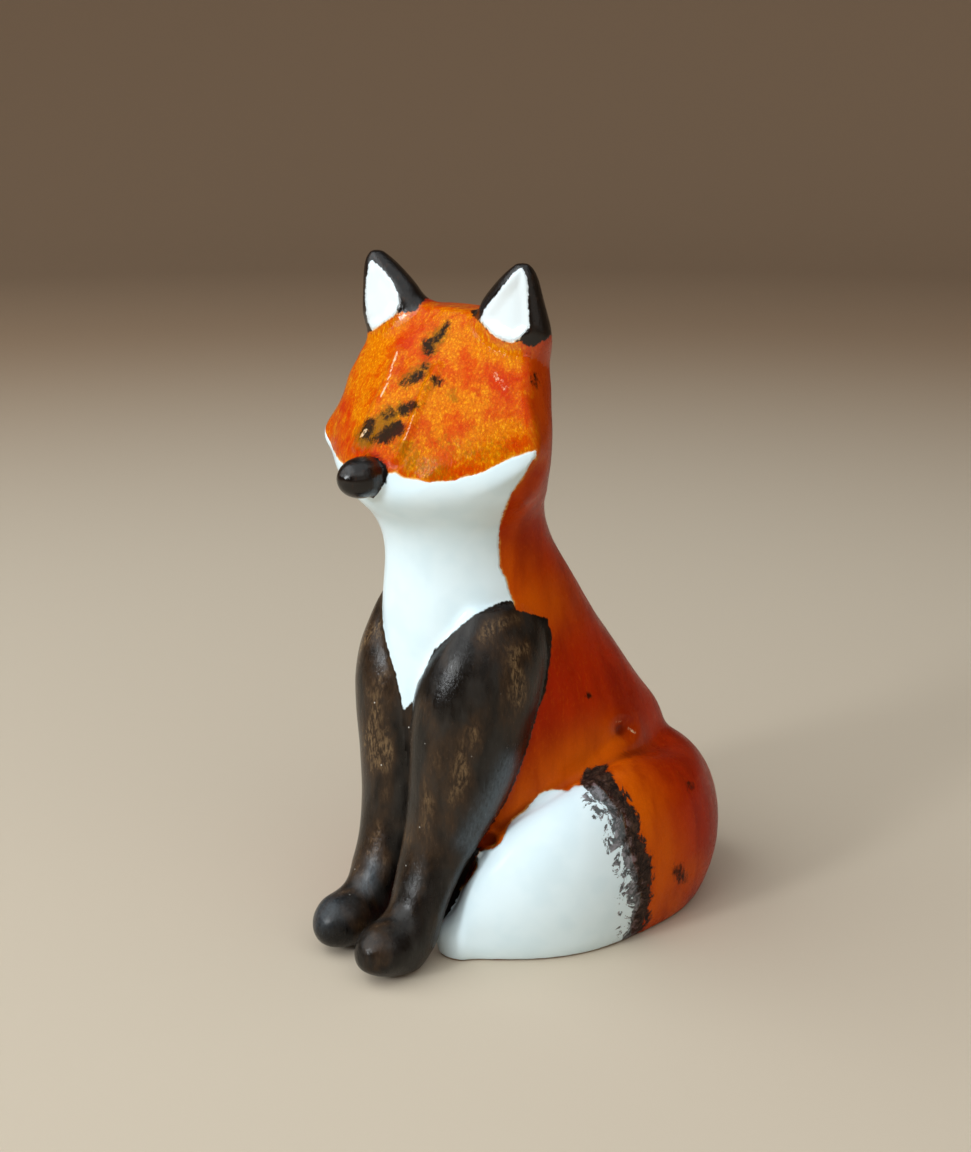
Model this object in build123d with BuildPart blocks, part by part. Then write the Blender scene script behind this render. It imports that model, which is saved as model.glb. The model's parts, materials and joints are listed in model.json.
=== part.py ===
"""Seated fox figurine in glazed stoneware, built up from separately formed clay pieces.

Millimetres, +Z up. The fox faces -Y and its left side is +X. The origin lies on the mid-plane,
near the middle of the seat, on the surface that the figure stands on.
"""

import os
from typing import NamedTuple

from build123d import *

# Clay thicknesses, the joints between the hollow pieces and the hole that lets the kiln's air out
WALL = 5.5
HEAD_WALL = 9.0
SLAB_THICKNESS = 6.0
NECK_JOINT_RISE = 3.0
VENT_DIAMETER = 8.0
VENT_Y = 18.0

# Nose, a long ball pressed on the end of the muzzle, and its place ahead of the jaw and above it
NOSE_RADIUS = 4.7
NOSE_HALF_LENGTH = 6.2
NOSE_REACH = 2.6
NOSE_RISE = 6.0

# Forepaws, long balls ahead of the chest, and how far the left foot stands ahead and the right foot behind
PAW_RADIUS = 7.2
PAW_HALF_LENGTH = 10.0
PAW_SPREAD = 8.6
PAW_REACH = 13.1
PAW_LEAD = 1.5
LEG_LEAD = 2.0

# How deep the round forms are pressed flat where they stand
PAW_FLAT = 0.4
TAIL_FLAT = 4.0

# Fullness of a quarter curve: a true ellipse, the squarer rump and the straighter sides of the face
ROUND = 0.5523
SQUARE = 0.66
SOFT_WEDGE = 0.38
WEDGE = 0.22


class Level(NamedTuple):
    """One level cut through body or head: its rise from the cut below, its reach and its widest place."""

    rise: float
    front: float
    back: float
    widest: float
    half_width: float
    front_fullness: float = ROUND
    back_fullness: float = ROUND


class Ring(NamedTuple):
    """One level cut through a limb or ear: its middle, from where the limb starts, and its half widths."""

    x: float
    y: float
    z: float
    half_x: float
    half_y: float


class TailCut(NamedTuple):
    """One cut square across the tail: where it stands on the floor, its half width and its height."""

    x: float
    y: float
    half_width: float
    height: float


SEAT = Level(rise=0.0, front=-30.0, back=36.0, widest=6.0, half_width=26.0)
HIP = Level(rise=18.0, front=-32.0, back=40.0, widest=8.0, half_width=27.5, back_fullness=SQUARE)
RUMP = Level(rise=18.0, front=-33.0, back=40.0, widest=8.0, half_width=28.5, back_fullness=SQUARE)
LOIN = Level(rise=14.0, front=-34.0, back=35.0, widest=3.0, half_width=27.5, back_fullness=SQUARE)
RIB = Level(rise=16.0, front=-35.0, back=25.5, widest=-6.0, half_width=23.5)
SHOULDER = Level(rise=16.0, front=-36.0, back=13.5, widest=-12.0, half_width=20.0)
NECK = Level(rise=12.0, front=-36.0, back=5.0, widest=-15.0, half_width=18.2)
THROAT = Level(rise=6.5, front=-38.5, back=2.0, widest=-18.0, half_width=19.2)
JAW = Level(rise=6.5, front=-45.5, back=-2.0, widest=-24.0, half_width=25.0, front_fullness=SOFT_WEDGE)
CHEEK = Level(rise=10.0, front=-45.5, back=-5.0, widest=-28.5, half_width=30.5, front_fullness=WEDGE)
BROW = Level(rise=10.0, front=-39.0, back=-4.5, widest=-26.5, half_width=29.0, front_fullness=WEDGE)
FOREHEAD = Level(rise=9.0, front=-31.0, back=-6.0, widest=-22.5, half_width=25.5, front_fullness=SOFT_WEDGE)
POLL = Level(rise=6.5, front=-25.0, back=-10.0, widest=-19.0, half_width=20.5)
CROWN = Level(rise=4.0, front=-20.0, back=-14.0, widest=-17.0, half_width=10.0)
BODY_LEVELS = [SEAT, HIP, RUMP, LOIN, RIB, SHOULDER, NECK, THROAT, JAW, CHEEK, BROW, FOREHEAD, POLL, CROWN]
HOLLOW_BODY = [HIP, RUMP, LOIN, RIB, SHOULDER, NECK]
HOLLOW_HEAD = [THROAT, JAW, CHEEK, BROW]

# From the floor below the front of the ribs, a paw's spread from the mid-plane
FORELEG = [
    Ring(x=0.2, y=-11.5, z=0.0, half_x=4.6, half_y=5.0),
    Ring(x=0.2, y=-8.0, z=8.0, half_x=6.6, half_y=7.6),
    Ring(x=0.2, y=-1.8, z=19.0, half_x=7.4, half_y=7.4),
    Ring(x=0.3, y=3.0, z=27.0, half_x=9.2, half_y=9.0),
    Ring(x=1.2, y=8.0, z=38.0, half_x=11.2, half_y=12.5),
    Ring(x=2.9, y=13.0, z=60.0, half_x=13.0, half_y=16.8),
    Ring(x=4.4, y=16.0, z=73.0, half_x=10.4, half_y=15.0),
    Ring(x=4.4, y=16.5, z=82.5, half_x=6.5, half_y=9.5),
]

# From the floor at the rump's widest place, set in from the sides of hip and rump
HAUNCH = [
    Ring(x=HIP.half_width - 7.0, y=-7.5, z=0.0, half_x=11.5, half_y=22.5),
    Ring(x=HIP.half_width - 7.0, y=-7.0, z=13.0, half_x=12.5, half_y=24.0),
    Ring(x=HIP.half_width - 7.0, y=-6.0, z=27.0, half_x=12.5, half_y=24.5),
    Ring(x=RUMP.half_width - 9.0, y=-2.0, z=41.0, half_x=10.8, half_y=19.0),
    Ring(x=RUMP.half_width - 10.5, y=1.0, z=52.0, half_x=7.0, half_y=11.0),
    Ring(x=RUMP.half_width - 11.5, y=2.0, z=56.0, half_x=3.0, half_y=5.0),
]

# From the widest place of the forehead
EAR = [
    Ring(x=-9.5, y=5.5, z=-1.0, half_x=7.5, half_y=4.5),
    Ring(x=-8.7, y=3.3, z=7.0, half_x=10.4, half_y=6.8),
    Ring(x=-6.5, y=1.7, z=15.0, half_x=6.7, half_y=4.8),
    Ring(x=-4.1, y=1.0, z=20.4, half_x=2.7, half_y=2.5),
    Ring(x=-3.8, y=0.9, z=21.6, half_x=1.2, half_y=1.1),
]

TAIL = [
    TailCut(x=-12.0, y=31.0, half_width=6.0, height=18.0),
    TailCut(x=0.0, y=38.5, half_width=9.0, height=30.0),
    TailCut(x=12.0, y=40.0, half_width=11.2, height=36.5),
    TailCut(x=24.0, y=33.0, half_width=12.0, height=38.0),
    TailCut(x=31.5, y=20.0, half_width=11.5, height=39.5),
    TailCut(x=32.5, y=4.0, half_width=10.5, height=42.0),
    TailCut(x=29.5, y=-12.0, half_width=9.5, height=39.0),
    TailCut(x=21.3, y=-23.0, half_width=8.8, height=31.5),
    TailCut(x=14.5, y=-30.0, half_width=6.6, height=20.5),
    TailCut(x=9.5, y=-34.0, half_width=2.2, height=6.0),
]


def height_of(level: Level) -> float:
    """Height of a level cut above the floor: all the rises up to it."""
    return sum(cut.rise for cut in BODY_LEVELS[: BODY_LEVELS.index(level) + 1])


def half_outline(level: Level, height: float, inset: float = 0.0) -> Sketch:
    """The left half of one level cut: two quarter curves from front to back, closed on the mid-plane."""
    half_width = level.half_width - inset
    front = Vector(0, level.front + inset)
    back = Vector(0, level.back - inset)
    side = Vector(half_width, level.widest)
    quarters = ((front, level.front_fullness), (back, level.back_fullness))
    with BuildSketch(Plane.XY.offset(height)) as cut:
        with BuildLine():
            for start, fullness in quarters:
                corner = Vector(side.X, start.Y)
                Bezier(start, start + (corner - start) * fullness, side + (corner - side) * fullness, side)
            Line(back, front)
        make_face()
    return cut.sketch


def ellipse(plane: Plane, half_x: float, half_y: float) -> Sketch:
    """An elliptical cut across a leg, a haunch, an ear or the tail, on its own plane."""
    with BuildSketch(plane) as cut:
        Ellipse(half_x, half_y)
    return cut.sketch


def rings(cuts: list[Ring], start: Vector, sign: int = 1) -> list[Sketch]:
    """The level cuts of one limb, set out from where it starts, on the fox's left (+1) or right (-1)."""
    places = [start + Vector(cut.x, cut.y, cut.z) for cut in cuts]
    planes = [Plane((sign * place.X, place.Y, place.Z)) for place in places]
    return [ellipse(plane, cut.half_x, cut.half_y) for plane, cut in zip(planes, cuts)]


def tail_cuts() -> list[Sketch]:
    """Ellipses across the tail, each square to the line from the cut before it to the cut after it."""
    cuts = []
    for number, cut in enumerate(TAIL):
        before = TAIL[max(number - 1, 0)]
        after = TAIL[min(number + 1, len(TAIL) - 1)]
        along = Vector(after.x - before.x, after.y - before.y)
        half_height = (cut.height + TAIL_FLAT) / 2
        middle = (cut.x, cut.y, half_height - TAIL_FLAT)
        plane = Plane(middle, x_dir=(-along.Y, along.X, 0), z_dir=along)
        cuts.append(ellipse(plane, cut.half_width, half_height))
    return cuts


def long_ball(place: Vector, radius: float, half_length: float) -> Part:
    """A long ball of clay that lies from back to front, before it is pressed on."""
    with BuildPart() as ball:
        with BuildSketch(Plane(place)):
            with BuildLine():
                half = EllipticalCenterArc((0, 0), radius, half_length, -90, arc_size=180)
                Line(half @ 1, half @ 0)
            make_face()
        revolve(axis=Axis(origin=place, direction=(0, 1, 0)))
    return ball.part


def main_solid(piece: BuildPart) -> Solid:
    """A piece's largest solid, without the crumbs that a cut can leave beside it."""
    return piece.solids().sort_by(SortBy.VOLUME)[-1]


def save(piece: BuildPart, name: str) -> None:
    """Label a finished piece and write it to its own file."""
    piece.part.label = name
    export_step(piece.part, f"parts/{name}.step")


neck_joint = Plane.XY.offset(height_of(NECK) + NECK_JOINT_RISE)
nose_place = Vector(0, JAW.front - NOSE_REACH, height_of(JAW) + NOSE_RISE)
ear_start = Vector(FOREHEAD.half_width, FOREHEAD.widest, height_of(FOREHEAD))
haunch_start = Vector(0, RUMP.widest)
leg_start = Vector(PAW_SPREAD, RIB.front)
left_paw_place = Vector(PAW_SPREAD, RIB.front - PAW_REACH - PAW_LEAD, PAW_RADIUS - PAW_FLAT)
right_paw_place = Vector(-PAW_SPREAD, RIB.front - PAW_REACH + PAW_LEAD, PAW_RADIUS - PAW_FLAT)

nose_ball = long_ball(nose_place, NOSE_RADIUS, NOSE_HALF_LENGTH)
left_paw_ball = long_ball(left_paw_place, PAW_RADIUS, PAW_HALF_LENGTH)
right_paw_ball = long_ball(right_paw_place, PAW_RADIUS, PAW_HALF_LENGTH)

os.makedirs("parts", exist_ok=True)

# Body and head as one outer form, and the hollow inside it
with BuildPart() as body_form:
    loft([half_outline(level, height_of(level)) for level in BODY_LEVELS])
    mirror(about=Plane.YZ)

with BuildPart() as cavity_form:
    floor_cut = half_outline(SEAT, SLAB_THICKNESS, WALL)
    body_cuts = [half_outline(level, height_of(level), WALL) for level in HOLLOW_BODY]
    head_cuts = [half_outline(level, height_of(level), HEAD_WALL) for level in HOLLOW_HEAD]
    loft([floor_cut] + body_cuts + head_cuts)
    mirror(about=Plane.YZ)

# Flat seat that closes the hollow body from below
with BuildPart() as base_slab:
    add(body_form.part)
    split(bisect_by=Plane.XY.offset(SLAB_THICKNESS), keep=Keep.BOTTOM)
    with Locations((0, VENT_Y, SLAB_THICKNESS)):
        Hole(VENT_DIAMETER / 2)
save(base_slab, "base_slab")

# Hollow trunk from the seat up to the joint in the neck
with BuildPart() as torso_shell:
    add(body_form.part)
    split(bisect_by=Plane.XY.offset(SLAB_THICKNESS), keep=Keep.TOP)
    split(bisect_by=neck_joint, keep=Keep.BOTTOM)
    add(cavity_form.part, mode=Mode.SUBTRACT)
save(torso_shell, "torso_shell")

# Hollow head with its muzzle and cheeks
with BuildPart() as head_shell:
    add(body_form.part)
    split(bisect_by=neck_joint, keep=Keep.TOP)
    add(cavity_form.part, mode=Mode.SUBTRACT)
save(head_shell, "head_shell")

# Nose
with BuildPart() as nose:
    add(nose_ball)
    add(body_form.part, mode=Mode.SUBTRACT)
save(nose, "nose")

# Ears, seated on the crown
with BuildPart() as left_ear:
    loft(rings(EAR, ear_start))
    add(body_form.part, mode=Mode.SUBTRACT)
    add(main_solid(left_ear), mode=Mode.REPLACE)
save(left_ear, "left_ear")

with BuildPart() as right_ear:
    mirror(left_ear.part, about=Plane.YZ)
save(right_ear, "right_ear")

# Haunches, pressed on the flanks
with BuildPart() as left_haunch:
    loft(rings(HAUNCH, haunch_start))
    add(body_form.part, mode=Mode.SUBTRACT)
    add(main_solid(left_haunch), mode=Mode.REPLACE)
save(left_haunch, "left_haunch")

with BuildPart() as right_haunch:
    mirror(left_haunch.part, about=Plane.YZ)
save(right_haunch, "right_haunch")

# Forelegs, the left one a little ahead, pressed against chest and each other
with BuildPart() as left_foreleg:
    loft(rings(FORELEG, leg_start - Vector(0, LEG_LEAD)))
    for neighbour in (body_form, left_haunch):
        add(neighbour.part, mode=Mode.SUBTRACT)
    add(main_solid(left_foreleg), mode=Mode.REPLACE)
save(left_foreleg, "left_foreleg")

with BuildPart() as right_foreleg:
    loft(rings(FORELEG, leg_start + Vector(0, LEG_LEAD), -1))
    for neighbour in (body_form, right_haunch, left_foreleg):
        add(neighbour.part, mode=Mode.SUBTRACT)
    add(main_solid(right_foreleg), mode=Mode.REPLACE)
save(right_foreleg, "right_foreleg")

# Forepaws, balls pressed on the feet
with BuildPart() as left_forepaw:
    add(left_paw_ball)
    split(bisect_by=Plane.XY, keep=Keep.TOP)
    for neighbour in (left_foreleg, right_foreleg):
        add(neighbour.part, mode=Mode.SUBTRACT)
    add(main_solid(left_forepaw), mode=Mode.REPLACE)
save(left_forepaw, "left_forepaw")

with BuildPart() as right_forepaw:
    add(right_paw_ball)
    split(bisect_by=Plane.XY, keep=Keep.TOP)
    for neighbour in (left_foreleg, right_foreleg, left_forepaw):
        add(neighbour.part, mode=Mode.SUBTRACT)
    add(main_solid(right_forepaw), mode=Mode.REPLACE)
save(right_forepaw, "right_forepaw")

# Tail, from the rump round the left flank to the left forepaw
with BuildPart() as tail:
    loft(tail_cuts())
    split(bisect_by=Plane.XY, keep=Keep.TOP)
    for neighbour in (body_form, left_haunch, left_foreleg, left_forepaw):
        add(neighbour.part, mode=Mode.SUBTRACT)
    add(main_solid(tail), mode=Mode.REPLACE)
save(tail, "tail")
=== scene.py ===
"""Looks of a sitting fox figurine in hand-built, glazed stoneware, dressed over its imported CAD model.

Metres, +Z up, the fox faces -Y and its left side is +X. Sizes in the classes are millimetres. Outlines and lines of
paint are places in a drawing of the figure from its front left, counted from the drawing's upper left corner.
"""

from __future__ import annotations

import json
import logging
import math
from abc import ABC, abstractmethod
from dataclasses import dataclass, field
from enum import Enum
from typing import Sequence

import bmesh
import bpy
import numpy as np
from mathutils import Matrix, Vector, noise
from mathutils.bvhtree import BVHTree
from mathutils.kdtree import KDTree

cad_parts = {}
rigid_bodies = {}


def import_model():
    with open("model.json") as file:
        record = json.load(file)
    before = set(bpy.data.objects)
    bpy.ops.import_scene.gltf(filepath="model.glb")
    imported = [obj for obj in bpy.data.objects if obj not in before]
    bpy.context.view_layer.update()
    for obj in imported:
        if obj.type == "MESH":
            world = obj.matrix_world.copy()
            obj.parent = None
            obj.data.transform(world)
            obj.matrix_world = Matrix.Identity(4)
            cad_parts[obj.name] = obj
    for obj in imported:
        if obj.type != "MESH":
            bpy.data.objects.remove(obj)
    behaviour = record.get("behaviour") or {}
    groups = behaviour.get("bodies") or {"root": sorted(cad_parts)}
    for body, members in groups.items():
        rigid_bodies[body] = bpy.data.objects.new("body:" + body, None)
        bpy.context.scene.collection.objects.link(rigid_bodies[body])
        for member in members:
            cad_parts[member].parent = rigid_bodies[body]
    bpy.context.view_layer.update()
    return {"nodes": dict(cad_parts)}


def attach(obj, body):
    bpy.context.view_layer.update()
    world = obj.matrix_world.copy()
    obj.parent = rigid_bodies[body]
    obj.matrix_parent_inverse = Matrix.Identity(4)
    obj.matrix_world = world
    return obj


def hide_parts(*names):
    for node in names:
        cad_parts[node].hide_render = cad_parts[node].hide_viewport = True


LOG = logging.getLogger("fox")
MM = 0.001
FAR = 14.0  # Depths and distances on the skin are cut off here.
TINY = 1e-9
Outline = Sequence[tuple[float, float]]
Span = tuple[float, float]
Triple = tuple[float, float, float]
Colour = tuple[float, float, float, float]


class Slot(str, Enum):
    """Material slots of the record."""

    ORANGE = "orange_glaze"
    WASH = "oxide_wash"
    BLACK = "black_glaze"
    BARE = "bare_clay"


class Clay(Enum):
    """The figure's pieces of clay: CAD node, name of the dressed piece and material slot."""

    BASE = ("base_slab", "seat", Slot.BARE)
    TORSO = ("torso_shell", "torso", Slot.ORANGE)
    HEAD = ("head_shell", "head", Slot.ORANGE)
    NOSE = ("nose", "nose_ball", Slot.BLACK)
    LEFT_EAR = ("left_ear", "ear_left", Slot.BLACK)
    RIGHT_EAR = ("right_ear", "ear_right", Slot.BLACK)
    LEFT_FORELEG = ("left_foreleg", "foreleg_left", Slot.WASH)
    RIGHT_FORELEG = ("right_foreleg", "foreleg_right", Slot.WASH)
    LEFT_FOREPAW = ("left_forepaw", "forepaw_left", Slot.WASH)
    RIGHT_FOREPAW = ("right_forepaw", "forepaw_right", Slot.WASH)
    LEFT_HAUNCH = ("left_haunch", "haunch_left", Slot.ORANGE)
    RIGHT_HAUNCH = ("right_haunch", "haunch_right", Slot.ORANGE)
    TAIL = ("tail", "tail_curl", Slot.ORANGE)

    @property
    def node(self) -> str:
        """Name of the CAD node."""
        return self.value[0]

    @property
    def piece(self) -> str:
        """Name of the dressed piece."""
        return self.value[1]

    @property
    def slot(self) -> Slot:
        """Material slot that the piece takes its finish from."""
        return self.value[2]

    @property
    def number(self) -> int:
        """Place in the list of pieces."""
        return list(Clay).index(self)


EARS = (Clay.LEFT_EAR, Clay.RIGHT_EAR)
FORELEGS = (Clay.LEFT_FORELEG, Clay.RIGHT_FORELEG)
FOREPAWS = (Clay.LEFT_FOREPAW, Clay.RIGHT_FOREPAW)
LEGS = (*FORELEGS, *FOREPAWS)
RIGHT_LEG = (Clay.RIGHT_FORELEG, Clay.RIGHT_FOREPAW)
HAUNCHES = (Clay.LEFT_HAUNCH, Clay.RIGHT_HAUNCH)
BODY = (Clay.TORSO, Clay.BASE)
TRUNK = (*BODY, Clay.HEAD)
REAR = (*BODY, *HAUNCHES)


@dataclass(frozen=True)
class Sight:
    """The viewpoint from the fox's front left, from which its painted outlines are drawn."""

    place: Triple = (259.2, -291.9, 193.0)
    aim: Triple = (2.3, -11.8, 84.0)
    focal: float = 1715.0
    width: int = 971
    height: int = 1152

    def axes(self) -> tuple[np.ndarray, np.ndarray, np.ndarray]:
        """Directions of the drawing.

        Returns:
            Unit vectors to the right, up and ahead.
        """
        ahead = np.subtract(self.aim, self.place)
        ahead /= np.linalg.norm(ahead)
        right = np.cross(ahead, (0.0, 0.0, 1.0))
        right /= np.linalg.norm(right)
        return right, np.cross(right, ahead), ahead

    def project(self, points: np.ndarray) -> np.ndarray:
        """Where points appear in the drawing.

        Args:
            points: Places on the figure, in millimetres.

        Returns:
            Places in the drawing, in its own units from the upper left.
        """
        right, up, ahead = self.axes()
        rays = points - np.array(self.place)
        depth = rays @ ahead
        across = self.width / 2 + self.focal * (rays @ right) / depth
        down = self.height / 2 - self.focal * (rays @ up) / depth
        return np.stack([across, down], axis=1)

    def unit(self) -> float:
        """Millimetres on the figure for one unit of the drawing."""
        return float(np.linalg.norm(np.subtract(self.aim, self.place))) / self.focal

    def facing(self, points: np.ndarray, normals: np.ndarray) -> np.ndarray:
        """How squarely the surface faces the viewpoint.

        Args:
            points: Places on the figure, in millimetres.
            normals: Outward unit normals there.

        Returns:
            Values from -1, turned away, to 1.
        """
        rays = np.array(self.place) - points
        rays /= np.linalg.norm(rays, axis=1, keepdims=True)
        return np.einsum("ij,ij->i", rays, normals)


def smooth_step(values: np.ndarray, low: float, high: float) -> np.ndarray:
    """A soft step from 0 at low to 1 at high."""
    share = np.clip((values - low) / (high - low), 0.0, 1.0)
    return share * share * (3.0 - 2.0 * share)


def line_distance(places: np.ndarray, line: Outline) -> np.ndarray:
    """Distance of each place from an open line of straight stretches.

    Args:
        places: Places in the drawing.
        line: Knots of the line, in order.

    Returns:
        Distances in units of the drawing.
    """
    best = np.full(len(places), np.inf)
    knots = np.array(line, float)
    for start, end in zip(knots[:-1], knots[1:]):
        along = end - start
        share = np.clip(((places - start) @ along) / max(along @ along, TINY), 0.0, 1.0)
        gap = places - (start + share[:, None] * along)
        best = np.minimum(best, np.hypot(gap[:, 0], gap[:, 1]))
    return best


def outline_depth(places: np.ndarray, outline: Outline) -> np.ndarray:
    """How deep each place lies inside a closed outline.

    Args:
        places: Places in the drawing.
        outline: Corners of the outline, in order.

    Returns:
        Distance from the outline, positive inside it.
    """
    corners = np.array(outline, float)
    inside = np.zeros(len(places), bool)
    for start, end in zip(corners, np.roll(corners, -1, axis=0)):
        crosses = (start[1] > places[:, 1]) != (end[1] > places[:, 1])
        rise = end[1] - start[1] if abs(end[1] - start[1]) > TINY else TINY
        reach = start[0] + (places[:, 1] - start[1]) * (end[0] - start[0]) / rise
        inside ^= crosses & (places[:, 0] < reach)
    gap = line_distance(places, [*outline, outline[0]])
    return np.where(inside, gap, -gap)


@dataclass
class Drawn:
    """Points as the drawing shows them: their places in it and how squarely they face the viewpoint."""

    sight: Sight
    points: np.ndarray
    normals: np.ndarray
    places: np.ndarray = field(init=False)
    facing: np.ndarray = field(init=False)

    def __post_init__(self) -> None:
        """Draw the points."""
        self.places = self.sight.project(self.points)
        self.facing = self.sight.facing(self.points, self.normals)

    def depth(self, outline: Outline) -> np.ndarray:
        """How deep the points lie inside an outline, in millimetres on the figure."""
        return outline_depth(self.places, outline) * self.sight.unit()

    def gap(self, line: Outline) -> np.ndarray:
        """Distance of the points from a line, in millimetres on the figure."""
        return line_distance(self.places, line) * self.sight.unit()

    def seen(self, full: float) -> np.ndarray:
        """A share that grows from 0 at the figure's rim to 1 where the facing is full."""
        return smooth_step(self.facing, 0.0, full)


def islands(count: int, first: np.ndarray, second: np.ndarray) -> np.ndarray:
    """Find out which things hang together.

    Args:
        count: How many things there are.
        first: One thing of each linked pair.
        second: The other thing of each pair.

    Returns:
        For each thing the lowest number on its island.
    """
    island = np.arange(count)
    while True:
        lower = island.copy()
        np.minimum.at(lower, first, island[second])
        np.minimum.at(lower, second, island[first])
        lower = lower[lower]
        if np.array_equal(lower, island):
            return island
        island = lower


def add_object(name: str, data: bpy.types.ID) -> bpy.types.Object:
    """Put a new object into the scene.

    Args:
        name: Its name.
        data: Its mesh, lamp or camera.

    Returns:
        The object.
    """
    made = bpy.data.objects.new(name, data)
    bpy.context.scene.collection.objects.link(made)
    return made


def mesh_of(form: bmesh.types.BMesh, name: str) -> bpy.types.Mesh:
    """Turn a form under construction into a mesh.

    Args:
        form: The form, which is used up.
        name: Name of the mesh.

    Returns:
        The mesh.
    """
    mesh = bpy.data.meshes.new(name)
    form.to_mesh(mesh)
    form.free()
    return mesh


def modified(holder: bpy.types.Object) -> bpy.types.Mesh:
    """A new mesh of an object as its modifiers leave it."""
    return bpy.data.meshes.new_from_object(holder.evaluated_get(bpy.context.evaluated_depsgraph_get()))


@dataclass
class ClaySkin:
    """The outer surface of the joined clay, as one even skin whose faces know their piece."""

    voxel: float = 0.6
    weld: float = 0.001
    vent_y: float = 18.0
    seat_middle: float = 4.0
    plug_radius: float = 6.0
    plug_length: float = 8.0
    plug_sides: int = 32
    settle_rounds: int = 6
    own_vote: float = 0.5
    most_rounds: int = 40
    fair_in: float = 0.52
    fair_out: float = -0.54
    points: np.ndarray = field(init=False)
    faces: np.ndarray = field(init=False)
    edges: np.ndarray = field(init=False)
    edge_faces: np.ndarray = field(init=False)
    clay_of_point: np.ndarray = field(init=False)
    clay_of_face: np.ndarray = field(init=False)

    def gather(self, nodes: dict[str, bpy.types.Object]) -> None:
        """Join the clay pieces, close the vent and lay one skin of even quads round them.

        Args:
            nodes: CAD nodes by name.
        """
        joined = bmesh.new()
        for clay in Clay:
            joined.from_mesh(nodes[clay.node].data)
        bmesh.ops.remove_doubles(joined, verts=joined.verts, dist=self.weld * MM)
        self.add_pin(joined, self.plug_radius, self.plug_length, self.plug_sides)
        mesh = mesh_of(joined, "clay_skin")
        holder = add_object("clay_skin", mesh)
        remesh = holder.modifiers.new("skin", "REMESH")
        remesh.mode = "VOXEL"
        remesh.voxel_size = self.voxel * MM
        skin = modified(holder)
        bpy.data.objects.remove(holder)
        points = np.zeros(len(skin.vertices) * 3)
        skin.vertices.foreach_get("co", points)
        corners = np.zeros(len(skin.loops), int)
        skin.loops.foreach_get("vertex_index", corners)
        self.points = points.reshape(-1, 3) / MM
        self.faces = corners.reshape(-1, 4)
        bpy.data.meshes.remove(skin)
        bpy.data.meshes.remove(mesh)
        self._keep_outside()

    def add_pin(self, form: bmesh.types.BMesh, radius: float, length: float, sides: int) -> None:
        """Add an upright pin where the vent goes through the seat.

        Args:
            form: Form that gets the pin.
            radius: Radius of the pin.
            length: Its length, about the middle of the seat.
            sides: How many sides it has.
        """
        place = Matrix.Translation((0.0, self.vent_y * MM, self.seat_middle * MM))
        bmesh.ops.create_cone(form, cap_ends=True, segments=sides, radius1=radius * MM, radius2=radius * MM,
                              depth=length * MM, matrix=place)

    def _sides(self) -> np.ndarray:
        """The four sides of every face, each as two points."""
        return np.concatenate([self.faces[:, [i, (i + 1) % 4]] for i in range(4)])

    def _keep_outside(self) -> None:
        """Drop the walls of the closed hollow and keep the skin that is seen."""
        island = islands(len(self.points), *self._sides().T)
        names, counts = np.unique(island, return_counts=True)
        kept = island == names[np.argmax(counts)]
        renumber = np.cumsum(kept) - 1
        self.faces = renumber[self.faces[kept[self.faces[:, 0]]]]
        self.points = self.points[kept]
        self.edges, edge_of_side = np.unique(np.sort(self._sides(), axis=1), axis=0, return_inverse=True)
        order = np.argsort(edge_of_side.ravel(), kind="stable")
        self.edge_faces = np.tile(np.arange(len(self.faces)), 4)[order].reshape(-1, 2)

    def name_pieces(self, nodes: dict[str, bpy.types.Object]) -> None:
        """Give every point and face the piece of clay that it lies on.

        Args:
            nodes: CAD nodes by name.
        """
        corners: list[Vector] = []
        triangles: list[tuple[int, ...]] = []
        owner: list[int] = []
        for clay in Clay:
            mesh = nodes[clay.node].data
            start = len(corners)
            corners.extend(vertex.co / MM for vertex in mesh.vertices)
            triangles.extend(tuple(start + i for i in polygon.vertices) for polygon in mesh.polygons)
            owner.extend([clay.number] * len(mesh.polygons))
        tree = BVHTree.FromPolygons(corners, triangles)
        centres = self.points[self.faces].mean(axis=1)
        self.clay_of_face = np.array([owner[tree.find_nearest(Vector(c))[2]] for c in centres])
        for _ in range(self.settle_rounds):
            self._settle_faces()
        for _ in range(self.most_rounds):
            if not (self._join_strays() | self._part_corners()):
                break
        self.clay_of_point = self._votes().argmax(axis=1)

    def _votes(self) -> np.ndarray:
        """Count the faces of each piece that meet at each point.

        Returns:
            A row for each point and a column for each piece.
        """
        votes = np.zeros((len(self.points), len(Clay)))
        for corner in range(4):
            np.add.at(votes, (self.faces[:, corner], self.clay_of_face), 1.0)
        return votes

    def _settle_faces(self) -> None:
        """Let each face take the commonest piece round its corners, for clean seams."""
        around = self._votes()[self.faces].sum(axis=1)
        around[np.arange(len(self.faces)), self.clay_of_face] += self.own_vote
        self.clay_of_face = around.argmax(axis=1)

    def _join_strays(self) -> bool:
        """Give patches that are cut off from their piece to the piece round them.

        Returns:
            Whether there were any.
        """
        first, second = self.edge_faces.T
        same = self.clay_of_face[first] == self.clay_of_face[second]
        island = islands(len(self.faces), first[same], second[same])
        sizes = np.bincount(island, minlength=len(island))[island]
        largest = np.zeros(len(Clay), int)
        np.maximum.at(largest, self.clay_of_face, sizes)
        stray = sizes < largest[self.clay_of_face]
        around = self._votes()[self.faces].sum(axis=1)
        around[np.arange(len(self.faces)), self.clay_of_face] = -1.0
        self.clay_of_face = np.where(stray, around.argmax(axis=1), self.clay_of_face)
        return bool(stray.any())

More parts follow.
